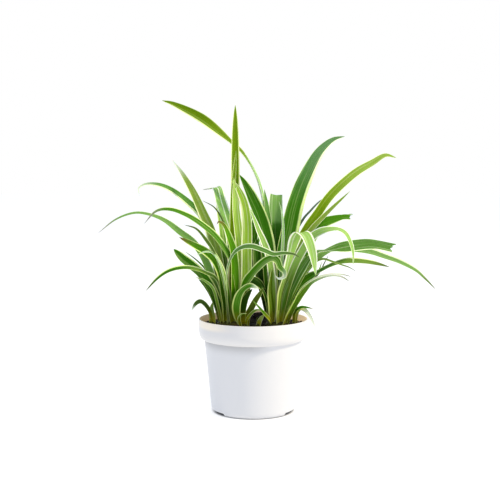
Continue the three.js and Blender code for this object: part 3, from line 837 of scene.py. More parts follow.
LEFT_LEFT = (
    Leaf("left_highest", Look.LIME, 13.5, 150, (0.2, 0.08), 0.2,
         roll=-60, taper=2.9, tip=Tip.WHITE, path=(
        (-30, 88, 5), (-33, 125, 6), (-38, 160, 8), (-46, 195, 12), (-55, 217, 18),
        (-65.5, 240, 28), (-77, 260, 38), (-88, 275, 46))),
    Leaf("left_hooked", Look.FERN, 11, 165, (0.5, 0.05), 0.1,
         roll=-62, taper=2.6, tip=Tip.WHITE, path=(
        (-33, 88, 6), (-36, 140, 14), (-43.5, 187, 26), (-55.5, 213.5, 34), (-72, 230, 38),
        (-88, 242, 40), (-102, 248, 42), (-116, 249, 42), (-124.5, 244.5, 40), (-124, 236, 38))),
    Leaf("left_bright", Look.GRASS, 9.5, 200, (0.06, 0.26), 0.3,
         roll=-72, taper=2.6, tip=Tip.GREY, foot=Look.MEADOW, change=0.42, gradual=0.2, path=(
        (-21, 88, -3), (-18, 130, -8), (-22, 160, -12), (-30, 177, -16), (-42, 193, -22),
        (-56, 205, -28), (-72, 215, -34), (-90, 221.5, -40), (-106, 219.5, -44), (-119, 206, -46))),
    Leaf("left_longest", Look.MIST, 9.5, 180, (0.05, 0.16), 0.2,
         roll=-80, taper=2.1, tip=Tip.GREY, path=(
        (-32, 88, -2), (-40, 130, 2), (-52, 165, 4), (-65, 185, 6), (-80, 197, 6, -80),
        (-96, 209, 4, -50), (-112, 215.5, 0, -28), (-130, 217.5, -4, -28), (-150, 210.5, -8, -30),
        (-169, 196, -12, -40))),
    Leaf("left_pale_front", Look.DUSK, 11, 200, (0.12, 0.24), 0.25,
         roll=-72, taper=1.7, tip=Tip.DARK, foot=Look.MEADOW, change=0.66, path=(
        (-28, 88, -6), (-28, 115, -12), (-30, 135, -15), (-35, 156, -19), (-42, 173, -24, -40),
        (-51, 187, -29), (-62, 200, -34), (-75, 204.5, -38))),
    Leaf("left_brown_tip", Look.BRIGHT, 10.5, 190, (0.28, 0.16), 0.2,
         roll=-72, taper=6, tip=Tip.BROWN, path=(
        (-30, 88, -4), (-32, 120, -8), (-35, 148, -10), (-42, 165, -13), (-52, 175, -17),
        (-66, 183, -22), (-81, 191, -27))),
    Leaf("left_small_pale", Look.MINT, 4.5, 200, (0.3, 0.3), 0.5, roll=-50, path=(
        (-27, 88, -7), (-30, 130, -17), (-36, 160, -23), (-44, 173, -27), (-53, 175, -30),
        (-63, 171, -33))),
    Leaf("left_dark", Look.DEEP, 10.5, 180, (0.06, 0.24), 0.2, roll=-72, taper=14, path=(
        (-33, 88, 0), (-37.5, 112, 0), (-46, 135, 0), (-57, 151, -2), (-68, 161, -4),
        (-77, 168, -6), (-87, 178, -8))),
    Leaf("left_low_arch", Look.DEEP, 7.2, 200, (0.1, 0.4), 0.2,
         roll=-42, tip=Tip.DARK, foot=Look.MOSS, change=0.75, gradual=0.25, path=(
        (-33, 88, -4), (-34, 120, -10), (-40, 144, -14), (-52, 152, -20), (-66, 157, -26),
        (-80, 157.5, -31), (-94, 153.5, -36), (-106, 145, -40), (-118, 132, -44))),
    Leaf("left_thread", Look.DEEP, 3.2, 170, (0.1, 0.1), 0, roll=-40, path=(
        (-33, 88, 3), (-40, 130, 4), (-50, 152, 6), (-60, 164, 8), (-74, 175, 10))),
    Leaf("left_low_pale", Look.MEADOW, 5.5, 195, (0.22, 0.4), 0.3, roll=-55, path=(
        (-34, 88, -3), (-39, 115, -10), (-44, 134, -14), (-53, 143, -18), (-63, 147, -22))),
    Leaf("left_low_dark", Look.GRASS, 8, 180, (0.1, 0.14), 0.2, roll=-65, path=(
        (-34, 88, 3), (-38.5, 110, 3), (-43.5, 124, 2), (-51, 136, 0), (-60, 145, -2))),
)

LEFT_FRONT = (
    Leaf("front_arch_high", Look.TEAL, 7.2, 320, (0.26, 0.2), 0.2,
         roll=62, taper=8, tip=Tip.DARK, path=(
        (-24, 88, -6), (-28, 125, -18), (-28.5, 152, -27), (-23, 170.5, -35), (-14, 179, -42),
        (-2, 181, -49), (12, 176.5, -55), (22, 172.5, -58), (33, 173.5, -61), (44, 172.5, -63),
        (51, 168.5, -65))),
    Leaf("front_arch_curled", Look.GRASS, 16, 310, (0.22, 0.2), 0.3,
         roll=75, taper=2, tip=Tip.WHITE, path=(
        (-18, 88, 0), (-16.5, 100, -3), (-14, 115, -11), (-9, 138, -22), (-1.5, 150, -32),
        (6.5, 159, -38), (14, 165.5, -43), (21.5, 168, -47), (26.5, 165, -50), (29.5, 158, -52),
        (34, 153, -54), (34, 147.5, -55), (28, 145.5, -54), (24, 149, -52))),
)

LEFT_BACK = (
    Leaf("back_fall_1", Look.GRASS, 9, 105, (0.14, 0.12), 0.3, roll=15, path=(
        (-26, 88, 7), (-29, 135, 20), (-32, 168, 36), (-36, 188, 56), (-40, 192, 78),
        (-43, 182, 98))),
    Leaf("back_fall_2", Look.DEEP, 10, 80, (0.16, 0.16), 0.3, roll=-15, path=(
        (-22, 88, 6), (-21, 99, 9), (-18, 128, 26), (-12, 150, 52), (-8, 154, 82), (-7, 144, 110),
        (-8, 122, 132))),
    Leaf("back_fall_3", Look.BRIGHT, 9, 60, (0.12, 0.12), 0.3, roll=15, path=(
        (-19, 88, 7), (-15, 140, 16), (-10, 185, 30), (-4, 212, 50), (2, 222, 72), (7, 216, 92))),
    Leaf("back_high", Look.MEADOW, 9.5, 110, (0.16, 0.16), 0.5, roll=-10, path=(
        (-24, 88, 6), (-28, 150, 14), (-33, 196, 26), (-37, 220, 44), (-39, 231, 60),
        (-41, 228, 78))),
    Leaf("back_low", Look.GRASS, 8, 115, (0.16, 0.16), 0.3, path=(
        (-30, 88, 6), (-32, 99, 8), (-37, 116, 22), (-41, 132, 40), (-43, 136, 58),
        (-44, 128, 74))),
)

RIGHT_MIDDLE = (
    Leaf("long_sweep", Look.OLIVE, 13, 160, (0.26, 0.06), 0.2,
         taper=9, foot=Look.MINT, change=0.68, gradual=0.26, path=(
        (20, 88, 8), (16, 150, 14), (13, 205, 22), (8, 241, 31, 20), (-0.5, 264.5, 38, 5),
        (-12.5, 283, 44, 0), (-25, 294.5, 48, -10), (-40, 307.5, 52, -35), (-57.5, 321, 56, -75),
        (-84.5, 334.5, 60, -70), (-98.5, 339, 62, -60))),
    Leaf("sweep_thread", Look.MINT, 3.2, 150, (0.2, 0.2), 0, roll=-30, path=(
        (24, 88, 9), (19, 150, 18), (15, 210, 28), (8, 248, 34), (-2, 270, 38), (-9, 282, 41))),
    Leaf("dark_upright", Look.DEEP, 16.5, 150, (0.06, 0.2), 0.3, roll=-55, taper=6, path=(
        (22, 88, -1), (20, 130, -4), (17, 168, -2), (14, 192, 1), (7, 216, 4), (-1, 234, 6),
        (-8, 248, 7), (-15, 259, 8))),
    Leaf("pale_upright", Look.CREAM, 10, 190, (0.3, 0.3), 0.5, roll=-80, path=(
        (21, 88, -6), (21, 130, -12), (18, 165, -16), (12, 184, -20), (6, 198, -22), (1, 211, -23),
        (-4, 223, -23))),
    Leaf("spike", Look.FERN, 9.5, 110, (0.1, 0.1), 0.1,
         roll=-10, taper=5, foot=Look.DEEP, change=0.5, gradual=0.2, path=(
        (24, 88, 4), (21.5, 150, 8), (17, 200, 11), (15, 222, 12), (12, 243, 13))),
    # Its dark foot, which ends sharply two thirds up, is a painted cast shadow.
    Leaf("broad_folded_back", Look.MIST, 16, 90, (0.06, 0.06), 0.35,
         taper=10, foot=Look.DEEP, change=0.66, path=(
        (25, 88, 2), (25, 150, 6), (24.5, 205, 12), (24.5, 228, 18), (25, 237, 27), (25, 232, 37),
        (25, 215, 46))),
    Leaf("narrow_upright", Look.MINT, 4, 90, (0.24, 0.24), 0.2, path=(
        (28, 88, 0), (31, 160, 2), (32.5, 190, 3), (32.5, 206, 4), (31, 219, 5), (28, 230, 6))),
    Leaf("right_tallest", Look.JADE, 21, 20, (0.05, 0.32), 0.18,
         roll=75, taper=3.6, foot=Look.DEEP, change=0.9, gradual=0.36, path=(
        (29.5, 88, 3), (31, 130, 3), (34.5, 170, 4), (40.3, 200, 7), (44.3, 220, 10),
        (50.6, 241, 15), (58.6, 260, 21), (68, 278, 28), (77, 289.3, 34), (87.3, 297.3, 39),
        (99, 300.5, 43))),
)

RIGHT_RIGHT = (
    Leaf("right_long", Look.LIME, 10, 15, (0.1, 0.1), 0.2,
         roll=70, taper=10, foot=Look.OLIVE, change=0.85, gradual=0.3, path=(
        (33, 88, -1), (36, 130, -2), (46, 175, 0), (59, 201, 4), (69.5, 216, 8), (82, 234, 14),
        (97, 249.5, 21), (113, 262.5, 28), (129, 272, 34), (143, 280, 38), (155, 277.5, 41))),
    Leaf("right_strand", Look.LIME, 7, 10, (0.14, 0.14), 0.1, roll=55, taper=5, path=(
        (34, 88, -5), (40, 140, -6), (50, 180, -5), (64, 200, -3), (75, 212, 0), (85, 222, 3),
        (95, 231.5, 6), (105, 241, 9))),
    Leaf("right_thread", Look.SLATE, 3.2, 40, (0.1, 0.1), 0, roll=30, taper=8, path=(
        (31, 88, 8), (38, 150, 14), (46, 193, 20), (54, 210, 24), (62, 219.5, 28), (71, 229, 32),
        (82, 237, 36))),
    Leaf("right_wedge", Look.GRASS, 15.4, 5, (0.06, 0.14), 0.2, roll=75, taper=6, blunt=0.4, path=(
        (33, 88, -4), (38, 130, -6), (48, 160, -6), (57, 180, -4), (66, 196, -2), (76, 206, 0),
        (88, 210.5, 2), (98, 213, 4), (106, 213, 6))),
    Leaf("right_wedge_thread", Look.MOSS, 3.6, 10, (0.1, 0.1), 0, roll=40, taper=5, path=(
        (35, 88, 3), (48, 155, 8), (67, 194, 10), (81, 209.5, 10), (94, 213.5, 10),
        (108, 217, 10))),
    Leaf("front_folded", Look.CREAM, 16.5, 312, (0.26, 0.22), 0.6,
         roll=-12, taper=4.5, foot=Look.MOSS, change=0.5, gradual=0.25, path=(
        (28, 88, -6, 40), (30, 125, -14, 42), (36, 150, -20, 34), (42, 174, -26, 10),
        (46.5, 189.5, -32), (51, 196, -38, -5), (57.5, 193, -46, 15), (62.5, 182, -50, 28),
        (66, 168, -52, 28), (68.5, 149, -52, 28))),
    Leaf("right_hoop", Look.CREAM, 10, 350, (0.22, 0.2), 0.4,
         roll=75, taper=5, foot=Look.MOSS, change=0.5, gradual=0.25, path=(
        (29, 88, -4), (36, 130, -8), (45, 158, -12), (55, 178, -16), (64, 191, -20, 75),
        (73, 197, -24, 65), (83, 199.5, -28, 35), (93, 199.5, -31, 15), (101, 195, -33, 20),
        (106, 186, -34, 25), (109, 175, -34, 30), (109.5, 161, -33, 30))),
    Leaf("right_flat", Look.TEAL, 13.2, 5, (0.04, 0.14), 0.3, roll=65, taper=14, blunt=0.82, path=(
        (31, 88, -6), (38, 125, -9), (45, 143, -10), (53, 158, -10, 60), (62, 170, -9, 35),
        (71, 175, -8, 8), (80, 176, -6, 8), (90, 178, -3, 35), (102, 180.5, 0, 75),
        (116, 182.5, 3, 78), (132, 183, 6, 78), (152.5, 179, 9, 78))),
    Leaf("right_farthest", Look.MIST, 11, 10, (0.4, 0.06), 0.1,
         roll=55, taper=3.5, tip=Tip.DARK, path=(
        (31, 88, 4), (33.5, 101, 5), (42, 125, 10), (55, 152, 14), (70, 169, 18), (84, 176, 22, 20),
        (98, 179, 24), (112, 178, 26), (128, 175.5, 26), (146, 169.5, 26), (162, 163.5, 24),
        (178, 155, 22), (189, 145, 20), (200, 134, 18))),
    Leaf("right_low_arch", Look.MOSS, 11.5, 0, (0.24, 0.08), 0.2,
         roll=65, taper=6, tip=Tip.DARK, foot=Look.GRASS, change=0.8, gradual=0.3, path=(
        (33, 88, 0), (38, 112, 0), (46, 130, 0), (54, 141, 0, 60), (62, 147.5, 0, 45),
        (72, 153, 0, 12), (82, 158.5, 0, 12), (92, 162.5, 0, 20), (105, 165, -1, 30),
        (120, 164.5, -2, 35), (135, 162, -4, 35), (149, 158.5, -6, 35))),
    Leaf("right_low_thread", Look.MOSS, 4, 345, (0.1, 0.1), 0, roll=45, tip=Tip.DARK, path=(
        (32, 88, -5), (42, 120, -14), (55, 148, -20), (66, 162, -24), (76, 167, -27),
        (86, 164.5, -30), (96, 161, -32), (105, 158, -34), (112, 154, -35))),
    Leaf("right_pale_edge", Look.FADED, 6, 330, (0.36, 0.3), 0.2,
         roll=30, tip=Tip.DARK, foot=Look.MEADOW, change=0.72, gradual=0.3, path=(
        (30, 88, -7), (37, 105, -14), (45, 121, -18), (52, 134, -22), (60, 141, -26),
        (72, 147.5, -31), (86, 150.5, -36), (98, 150, -40), (107, 148, -43))),
    Leaf("right_lowest", Look.FADED, 9, 345, (0.3, 0.2), 0.3,
         roll=60, taper=3, tip=Tip.DARK, foot=Look.MEADOW, change=0.9, gradual=0.4, path=(
        (35, 88, -3), (43, 110, -8), (50, 123, -11), (58, 134, -14, 50), (66, 142, -18, 30),
        (78, 147.5, -22, 25), (89, 149, -25, 25), (98, 147, -28, 25), (105, 143, -30, 25))),
    Leaf("right_stalk", Look.SHADE, 2.6, 20, (0, 0), 0, roll=30, taper=5, path=(
        (32, 88, 6), (35, 101, 7), (50, 125, 14), (64, 142, 18), (73, 153, 20), (78, 163, 21),
        (82, 171, 22))),
    Leaf("right_bud", Look.MEADOW, 3.4, 20, (0.2, 0.2), 0, roll=50, taper=5, path=(
        (31.5, 88, 6), (34, 101, 7), (52, 128, 16), (66, 146, 20), (72, 155, 21), (75, 164, 22))),
)

RIGHT_LOW = (
    Leaf("gap_pale", Look.GRASS, 4.5, 200, (0.24, 0.2), 0.2, roll=-60, path=(
        (20, 88, -5), (19, 98, -12), (13, 106, -22), (6, 114, -32), (0, 121, -37))),
    Leaf("gap_edged", Look.GRASS, 5.5, 190, (0.28, 0.28), 0.1, roll=-70, path=(
        (19, 88, -4), (16, 112, -14), (13, 127, -17), (9, 137, -19))),
    Leaf("gap_dark", Look.SHADE, 12, 190, (0.24, 0.08), 0.1, roll=-75, taper=8, path=(
        (20, 88, -2), (18, 99, -6, -60), (15, 118, -12, -30), (10, 134, -18, -40),
        (3, 142, -18.5, -75), (-5, 144.5, -17.2, -88), (-12, 144.5, -16.8, -88))),
    Leaf("front_olive", Look.OLIVE, 9.5, 300, (0.08, 0.28), 0.3, roll=30, taper=5, path=(
        (21, 88, -3), (21, 99, -8), (20, 115, -16), (18.5, 132, -18), (19.5, 145, -18),
        (20.5, 157, -17))),
    Leaf("front_stub", Look.PALE, 3.8, 270, (0.2, 0.2), 0.2, path=(
        (27, 88, -6), (26.5, 105, -13), (27, 122, -14))),
    Leaf("inner_dark", Look.DEEP, 13, 100, (0.08, 0.1), 0.2, roll=-10, taper=7, path=(
        (21, 88, 4), (16, 118, 0), (11, 138, -2), (6.5, 157, -3), (4, 176, -1.5), (4, 190, 0))),
)

RIGHT_BACK = (
    Leaf("back_fall_4", Look.DEEP, 10, 75, (0.14, 0.14), 0.3, roll=10, path=(
        (26, 88, 7), (27, 130, 20), (30, 158, 38), (34, 172, 60), (38, 170, 84), (41, 154, 106))),
    Leaf("back_fall_5", Look.GRASS, 9, 85, (0.16, 0.14), 0.3, roll=-10, path=(
        (29, 88, 6), (30, 99, 9), (32, 125, 24), (36, 142, 48), (38, 144, 76), (38, 130, 102),
        (36, 104, 124))),
    Leaf("back_fall_6", Look.BRIGHT, 9, 110, (0.14, 0.14), 0.3, roll=-20, path=(
        (22, 88, 6), (21.5, 99, 9), (20, 140, 20), (17, 172, 38), (12, 190, 60), (8, 194, 84),
        (5, 182, 106))),
    Leaf("back_tall", Look.MEADOW, 10, 95, (0.14, 0.16), 0.5, path=(
        (28, 88, 6), (26, 150, 14), (24, 200, 26), (21, 224, 44), (19, 230, 64), (18, 222, 84))),
    Leaf("back_side", Look.GRASS, 8.5, 65, (0.12, 0.12), 0.3, roll=10, path=(
        (29, 88, 4), (31, 99, 7), (38, 115, 20), (45, 134, 38), (49, 146, 58), (51, 146, 78),
        (52, 136, 96))),
)

YOUNG_LEFT = (
    Leaf("arch", Look.DUSK, 7, 200, (0.14, 0.14), 0.1, roll=-55, tip=Tip.WHITE, path=(
        (-46, 88, -6), (-46, 102, -7), (-50, 113, -9), (-57, 120, -12), (-63, 118, -15),
        (-68, 110, -17))),
    Leaf("upright", Look.MOSS, 7.5, 100, (0.26, 0.08), 0.2, path=(
        (-46, 88, -5), (-45, 100, -6), (-46, 110, -6), (-45, 119, -4))),
    Leaf("back", Look.GRASS, 5.5, 140, (0.14, 0.14), 0.1, roll=-10, path=(
        (-46, 88, -4), (-45.5, 99, -3), (-45, 106, 2), (-46, 112, 8), (-49, 115, 13))),
)

YOUNG_FRONT = (
    Leaf("white_edged", Look.GRASS, 12, 330, (0.28, 0.26), 0.2, roll=80, tip=Tip.WHITE, path=(
        (-10.5, 88, -21), (-15.8, 101, -24.8, 100), (-18, 113, -29, 110), (-16, 125, -33, 100),
        (-10.5, 133.5, -36), (-3, 137.5, -39), (6.5, 134, -41))),
    Leaf("dark", Look.BRONZE, 7, 0, (0.12, 0.12), 0.1, roll=80, taper=5, path=(
        (-7, 88, -21), (-6, 104, -24), (-2, 113, -27), (2.5, 121.5, -29), (7, 128.5, -31),
        (12, 136, -32))),
    Leaf("shaded", Look.SHADE, 8.5, 0, (0.08, 0.08), 0, roll=80, taper=5, path=(
        (-11, 88, -21), (-12, 108, -24), (-9, 122, -28), (-4.5, 130, -30), (-1, 134, -31))),
    Leaf("low_arch", Look.MOSS, 4, 0, (0.2, 0.2), 0.1, roll=50, path=(
        (-7, 88, -23), (-7, 99, -25), (-2, 107, -30), (4, 111, -35), (9, 110, -37))),
    Leaf("curl", Look.MEADOW, 3.4, 270, (0.3, 0.3), 0.1, roll=20, path=(
        (-12, 88, -22), (-16, 100, -27), (-13, 106, -31), (-7, 107, -33))),
)

YOUNG_RIGHT = (
    Leaf("flat", Look.DEEP, 5, 0, (0.14, 0.1), 0.1, roll=40, taper=3, tip=Tip.GREY, path=(
        (46, 88, -5), (45, 103, -6), (47, 110.5, -7), (53, 114, -8), (60, 113.5, -8),
        (66, 112, -8))),
    Leaf("over_rim", Look.FADED, 5, 0, (0.24, 0.24), 0.1, roll=50, tip=Tip.WHITE, path=(
        (47, 88, -3), (47.5, 104, -3), (51, 112, -4), (56, 111.5, -6), (61, 106, -8), (65, 99, -9),
        (68.5, 91, -9))),
    Leaf("upright", Look.LIME, 6, 60, (0.2, 0.2), 0.1, roll=20, path=(
        (46.5, 88, -2), (46, 102, -1), (46.5, 112, 1), (48, 119, 4))),
)

SHOOT = (
    Leaf("pale", Look.SPROUT, 6.4, 350, (0.24, 0.24), 0.1, roll=70, path=(
        (5, 88, -13), (7, 98, -15), (12, 106, -17))),
    Leaf("sheath", Look.SHADE, 4, 180, (0.1, 0.1), 0.1, roll=-60, path=(
        (6, 88, -12), (5.5, 97, -13), (4, 103, -14))),
)


# ---------------------------------------------------------------- pieces in general


class Clay:
    """A bmesh under work that becomes one piece of the plant or its pot."""

    def __init__(self, name: str) -> None:
        """Starts an empty mesh for a piece of that name."""
        self.name = name
        self.mesh = bmesh.new()

    def harden(self) -> bpy.types.Object:
        """Turns the work into an object of the scene.

        Returns:
            The object.
        """
        data = bpy.data.meshes.new(self.name)
        self.mesh.to_mesh(data)
        self.mesh.free()
        return set_down(self.name, data)

    def piece(
        self, material: bpy.types.Material, node: str, crease: float
    ) -> bpy.types.Object:
        """Turns the work into a dressed piece that stands for a solid.

        Args:
            material: Its finish.
            node: The solid it stands for.
            crease: Edges steeper than this angle stay crisp, in degrees.

        Returns:
            The piece, riding on the plant's one body.
        """
        thing = self.harden()
        thing.data.shade_smooth()
        thing.data.set_sharp_from_angle(angle=math.radians(crease))
        thing.data.materials.append(material)
        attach(thing, BODY)
        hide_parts(node)
        thing.data.calc_loop_triangles()
        log.info("%s: %d triangles", self.name, len(thing.data.loop_triangles))
        return thing

    def turn(
        self, outline: list[Point], steps: int, move: Matrix, merge: float = 1e-4
    ) -> list[bmesh.types.BMVert]:
        """Spins an outline about +Z into a closed shell.

        Args:
            outline: (radius, height) points, in the shell's own units.
            steps: How many steps go round.
            move: The transform of the finished shell into metres.
            merge: How close points become one, in the shell's own units.

        Returns:
            The new vertices.
        """
        old = set(self.mesh.verts)
        chain = [self.mesh.verts.new((radius, 0.0, height)) for radius, height in outline]
        edges = [self.mesh.edges.new(pair) for pair in zip(chain, chain[1:])]
        bmesh.ops.spin(
            self.mesh,
            geom=chain + edges,
            cent=(0, 0, 0),
            axis=(0, 0, 1),
            angle=math.tau,
            steps=steps,
            use_merge=True,
        )
        made = [vert for vert in self.mesh.verts if vert not in old]
        bmesh.ops.remove_doubles(self.mesh, verts=made, dist=merge)
        made = [vert for vert in self.mesh.verts if vert not in old]
        faces = list({face for vert in made for face in vert.link_faces})
        bmesh.ops.recalc_face_normals(self.mesh, faces=faces)
        bmesh.ops.transform(self.mesh, matrix=move, verts=made)
        return made


# ---------------------------------------------------------------- the plant


@dataclass(frozen=True)
class Eye:
    """Where the front view is seen from, by which the leaves' paths are written."""

    x: float = -3.6
    distance: float = 1000.0
    height: float = 255.0

    def placed(self, point: Point) -> Vector:
        """Moves a point of a path along its line of sight to its depth.

        Args:
            point: How far across and up it appears on the plane of the pot's axis, and its depth.

        Returns:
            Its place.
        """
        across, up, depth = point[:3]
        spread = 1 + depth / self.distance
        x = self.x + (across - self.x) * spread
        return Vector((x, depth, self.height + (up - self.height) * spread))


@dataclass(frozen=True)
class Station:
    """A place on a midrib.

    Attributes:
        place: Where it is.
        face: Where the upper face looks.
        across: The direction to the right of the run, on the upper face.
        onward: The direction of the run.
        run: The length from the root.
    """

    place: Vector
    face: Vector
    across: Vector
    onward: Vector
    run: float


@dataclass(frozen=True)
class BladeForm:
    """The form of every blade around its midrib.

    Attributes:
        thickness: The blade's thickness at its root, with the share of it that its tip keeps.
        keel: How far the midrib stands out below, and on what share of the half width.
        base_share: The share of the width at the root, up to all of it at the end of base_span.
        tip_rounding: How bluntly the blade ends, and the width that its very tip keeps.
        fold_base: The angle of the valley at the root, easing to fold_tip over fold_span.
        ripple: The margin's waves for each millimetre of width, and their length, which differs
            from blade to blade, and from the left half to the right by side_lag.
        torn: How deep a torn tip is cut: by a lean bow, and by finer nicks.
        tone: How much lighter or darker a blade is than its look.
        apart: The step between two blades' grain.
        crease: Edges steeper than this stay crisp, in degrees.
        span_steps: How many steps lie between two points of a path.
        half_columns: How many columns each half of a section has.
        slope_delta: How far to each side the run's slope is taken, in spans.
        merge_metres: How close points become one.
    """

    thickness: float = 0.7
    tip_thickness: float = 0.6
    keel: float = 0.5
    keel_share: float = 0.16
    base_share: float = 0.55
    base_span: Span = Span(0.0, 0.28)
    tip_rounding: float = 0.8
    tip_width: float = 0.35
    fold_base: float = 30.0
    fold_tip: float = 9.0
    fold_span: float = 0.5
    fold_softness: float = 0.22
    ripple: float = 0.0035
    ripple_length: float = 34.0
    ripple_stretch: Span = Span(0.8, 1.25)
    side_lag: float = 1.9
    torn: float = 2.2
    torn_bow: float = 2.6
    torn_lean: float = 0.5
    torn_nicks: float = 9.0
    nick_share: float = 0.5
    tone: Span = Span(0.93, 1.07)
    apart: float = 1.37
    crease: float = 70.0
    span_steps: int = 8
    half_columns: int = 9
    slope_delta: float = 1e-3
    merge_metres: float = 1e-6
    eye: Eye = Eye()

    def _curve(self, points: list[Vector], at: float) -> Vector:
        """A point on the smooth curve through some points.

        Args:
            points: The points.
            at: How far along, from 0 to their number less one.

        Returns:
            The point.
        """
        last = len(points) - 2
        span = min(int(at), last)
        t = at - span
        start, end = points[span], points[span + 1]
        before = points[span - 1] if span > 0 else start * 2 - end
        after = points[span + 2] if span < last else end * 2 - start
        leave, arrive = (end - before) / 2, (after - start) / 2
        return (
            start
            + leave * t
            + (start * -3 + end * 3 - leave * 2 - arrive) * t**2
            + (start * 2 - end * 2 + leave + arrive) * t**3
        )

    def stations(self, leaf: Leaf) -> list[Station]:
        """Carries the blade's upper face along its midrib.

        Args:
            leaf: The blade.

        Returns:
            Its stations from the root to the tip.
        """
        points = [self.eye.placed(point) for point in leaf.path]
        rolls = [math.radians(p[3] if len(p) > 3 else leaf.roll) for p in leaf.path]
        lean = math.radians(leaf.lean)
        upper = Vector((-math.cos(lean), -math.sin(lean), 1.0))
        top = len(points) - 1
        stations: list[Station] = []
        run = 0.0
        for step in range(top * self.span_steps + 1):
            at = step / self.span_steps
            place = self._curve(points, at)
            before = self._curve(points, max(0.0, at - self.slope_delta))
            after = self._curve(points, min(float(top), at + self.slope_delta))
            onward = (after - before).normalized()
            upper = (upper - onward * upper.dot(onward)).normalized()
            span = min(int(at), top - 1)
            roll = blend(rolls[span], rolls[span + 1], at - span)
            face = Matrix.Rotation(roll, 3, onward) @ upper
            if stations:
                run += (place - stations[-1].place).length
            stations.append(Station(place, face, onward.cross(face), onward, run))
        return stations

    def half_width(self, along: float, leaf: Leaf) -> float:
        """Half the width at a share of the length.

        Args:
            along: The share of the length.
            leaf: The blade.

        Returns:
            Half the width.
        """
        base = blend(self.base_share, 1.0, self.base_span.share(along))
        tip = max(leaf.blunt, max(0.0, 1 - along**leaf.taper) ** self.tip_rounding)
        return max(self.tip_width, leaf.width * base * tip) / 2

    def fold(self, along: float) -> float:
        """The angle of the valley at a share of the length, in radians."""
        eased = min(1.0, along / self.fold_span)
        return math.radians(blend(self.fold_base, self.fold_tip, eased))

    def section(self) -> list[tuple[float, int]]:
        """Goes round a section of the blade.

        Returns:
            For each place the share of the half width, and 1 on the upper face or -1 below.
        """
        count = 2 * self.half_columns
        shares = [math.sin(math.pi / 2 * (2 * i / count - 1)) for i in range(count + 1)]
        return [(s, 1) for s in shares] + [(s, -1) for s in reversed(shares[:-1])]

    def _lifts(self, share: float, along: float, wave: float, leaf: Leaf) -> tuple[float, float]:
        """How far the upper face stands above the midrib's chord, and the lower below the upper.

        Args:
            share: The share of the half width, negative on the left.
            along: The share of the length.
            wave: The height of the margin's wave there, from -1 to 1.
            leaf: The blade.

        Returns:
            The rise of the upper face and the thickness with the keel.
        """
        soft = self.fold_softness
        valley = (math.hypot(share, soft) - soft) / (math.hypot(1.0, soft) - soft)
        waved = self.ripple * leaf.width * wave * share**4
        rise = self.half_width(along, leaf) * (math.sin(self.fold(along)) * valley + waved)
        thick = self.thickness * math.sqrt(1 - share**4) * blend(1.0, self.tip_thickness, along)
        keel = math.exp(-((share / self.keel_share) ** 2)) * self.keel * (1 - along)
        return rise, thick + keel

    def shape(self, mesh: bmesh.types.BMesh, leaf: Leaf, seed: int) -> None:
        """Adds one blade to a mesh that carries the blades' layers.

        Args:
            mesh: The mesh.
            leaf: The blade.
            seed: The number that its ripple and grain are drawn from.
        """
        draw = random.Random(seed)
        phase = draw.uniform(0, math.tau)
        coats = BladeCoat(leaf, self.tone.draw(draw))
        ripple_length = self.ripple_length * self.ripple_stretch.draw(draw)
        stations, section = self.stations(leaf), self.section()
        columns, rows = len(section) - 1, len(stations) - 1
        grid = bmesh.ops.create_grid(mesh, x_segments=columns, y_segments=rows, size=1.0)["verts"]
        layers = BladeLayers(mesh)
        for vert in grid:
            share, side = section[round((vert.co.x + 1) / 2 * columns)]
            row = round((vert.co.y + 1) / 2 * rows)
            station = stations[row]
            along = station.run / stations[-1].run
            lag = phase + (share > 0) * self.side_lag
            wave = math.sin(station.run / ripple_length * math.tau + lag)
            rise, thick = self._lifts(share, along, wave, leaf)
            sunk = thick if side < 0 and row not in (0, rows) else 0.0
            lane = share * self.half_width(along, leaf)
            place = station.place + station.across * (lane * math.cos(self.fold(along)))
            place += station.face * (rise - sunk)
            if leaf.blunt and row == rows:
                bow = math.cos(share * self.torn_bow - self.torn_lean)
                nicks = self.nick_share * math.sin(share * self.torn_nicks)
                place -= station.onward * self.torn * (bow + nicks)
            vert.co = place * MM
            vert[layers.lie] = Vector((share, station.run * MM, seed * self.apart))
            vert[layers.margins] = Vector((*leaf.margins, leaf.streaks))
            vert[layers.lane] = lane
            vert[layers.body], vert[layers.edge] = coats.colours(along, place)
        bmesh.ops.remove_doubles(mesh, verts=grid, dist=self.merge_metres)


class BladeLayers:
    """What a blade's mesh tells its skin at each point.

    Attributes:
        lie: The share of the half width, the run in metres, and the blade's own number.
        margins: The left and right margins' shares, and the streaks'.
        lane: How far the point is from the midrib.
        body: The body's colour.
        edge: The margins' colour.
    """

    def __init__(self, mesh: bmesh.types.BMesh) -> None:
        """Finds a mesh's layers, or adds those that it lacks.

        Args:
            mesh: The mesh.
        """
        kinds = mesh.verts.layers
        self.lie = kinds.float_vector.get("lie") or kinds.float_vector.new("lie")
        self.margins = kinds.float_vector.get("margins") or kinds.float_vector.new("margins")
        self.lane = kinds.float.get("lane") or kinds.float.new("lane")
        self.body = kinds.float_color.get("body") or kinds.float_color.new("body")
        self.edge = kinds.float_color.get("edge") or kinds.float_color.new("edge")


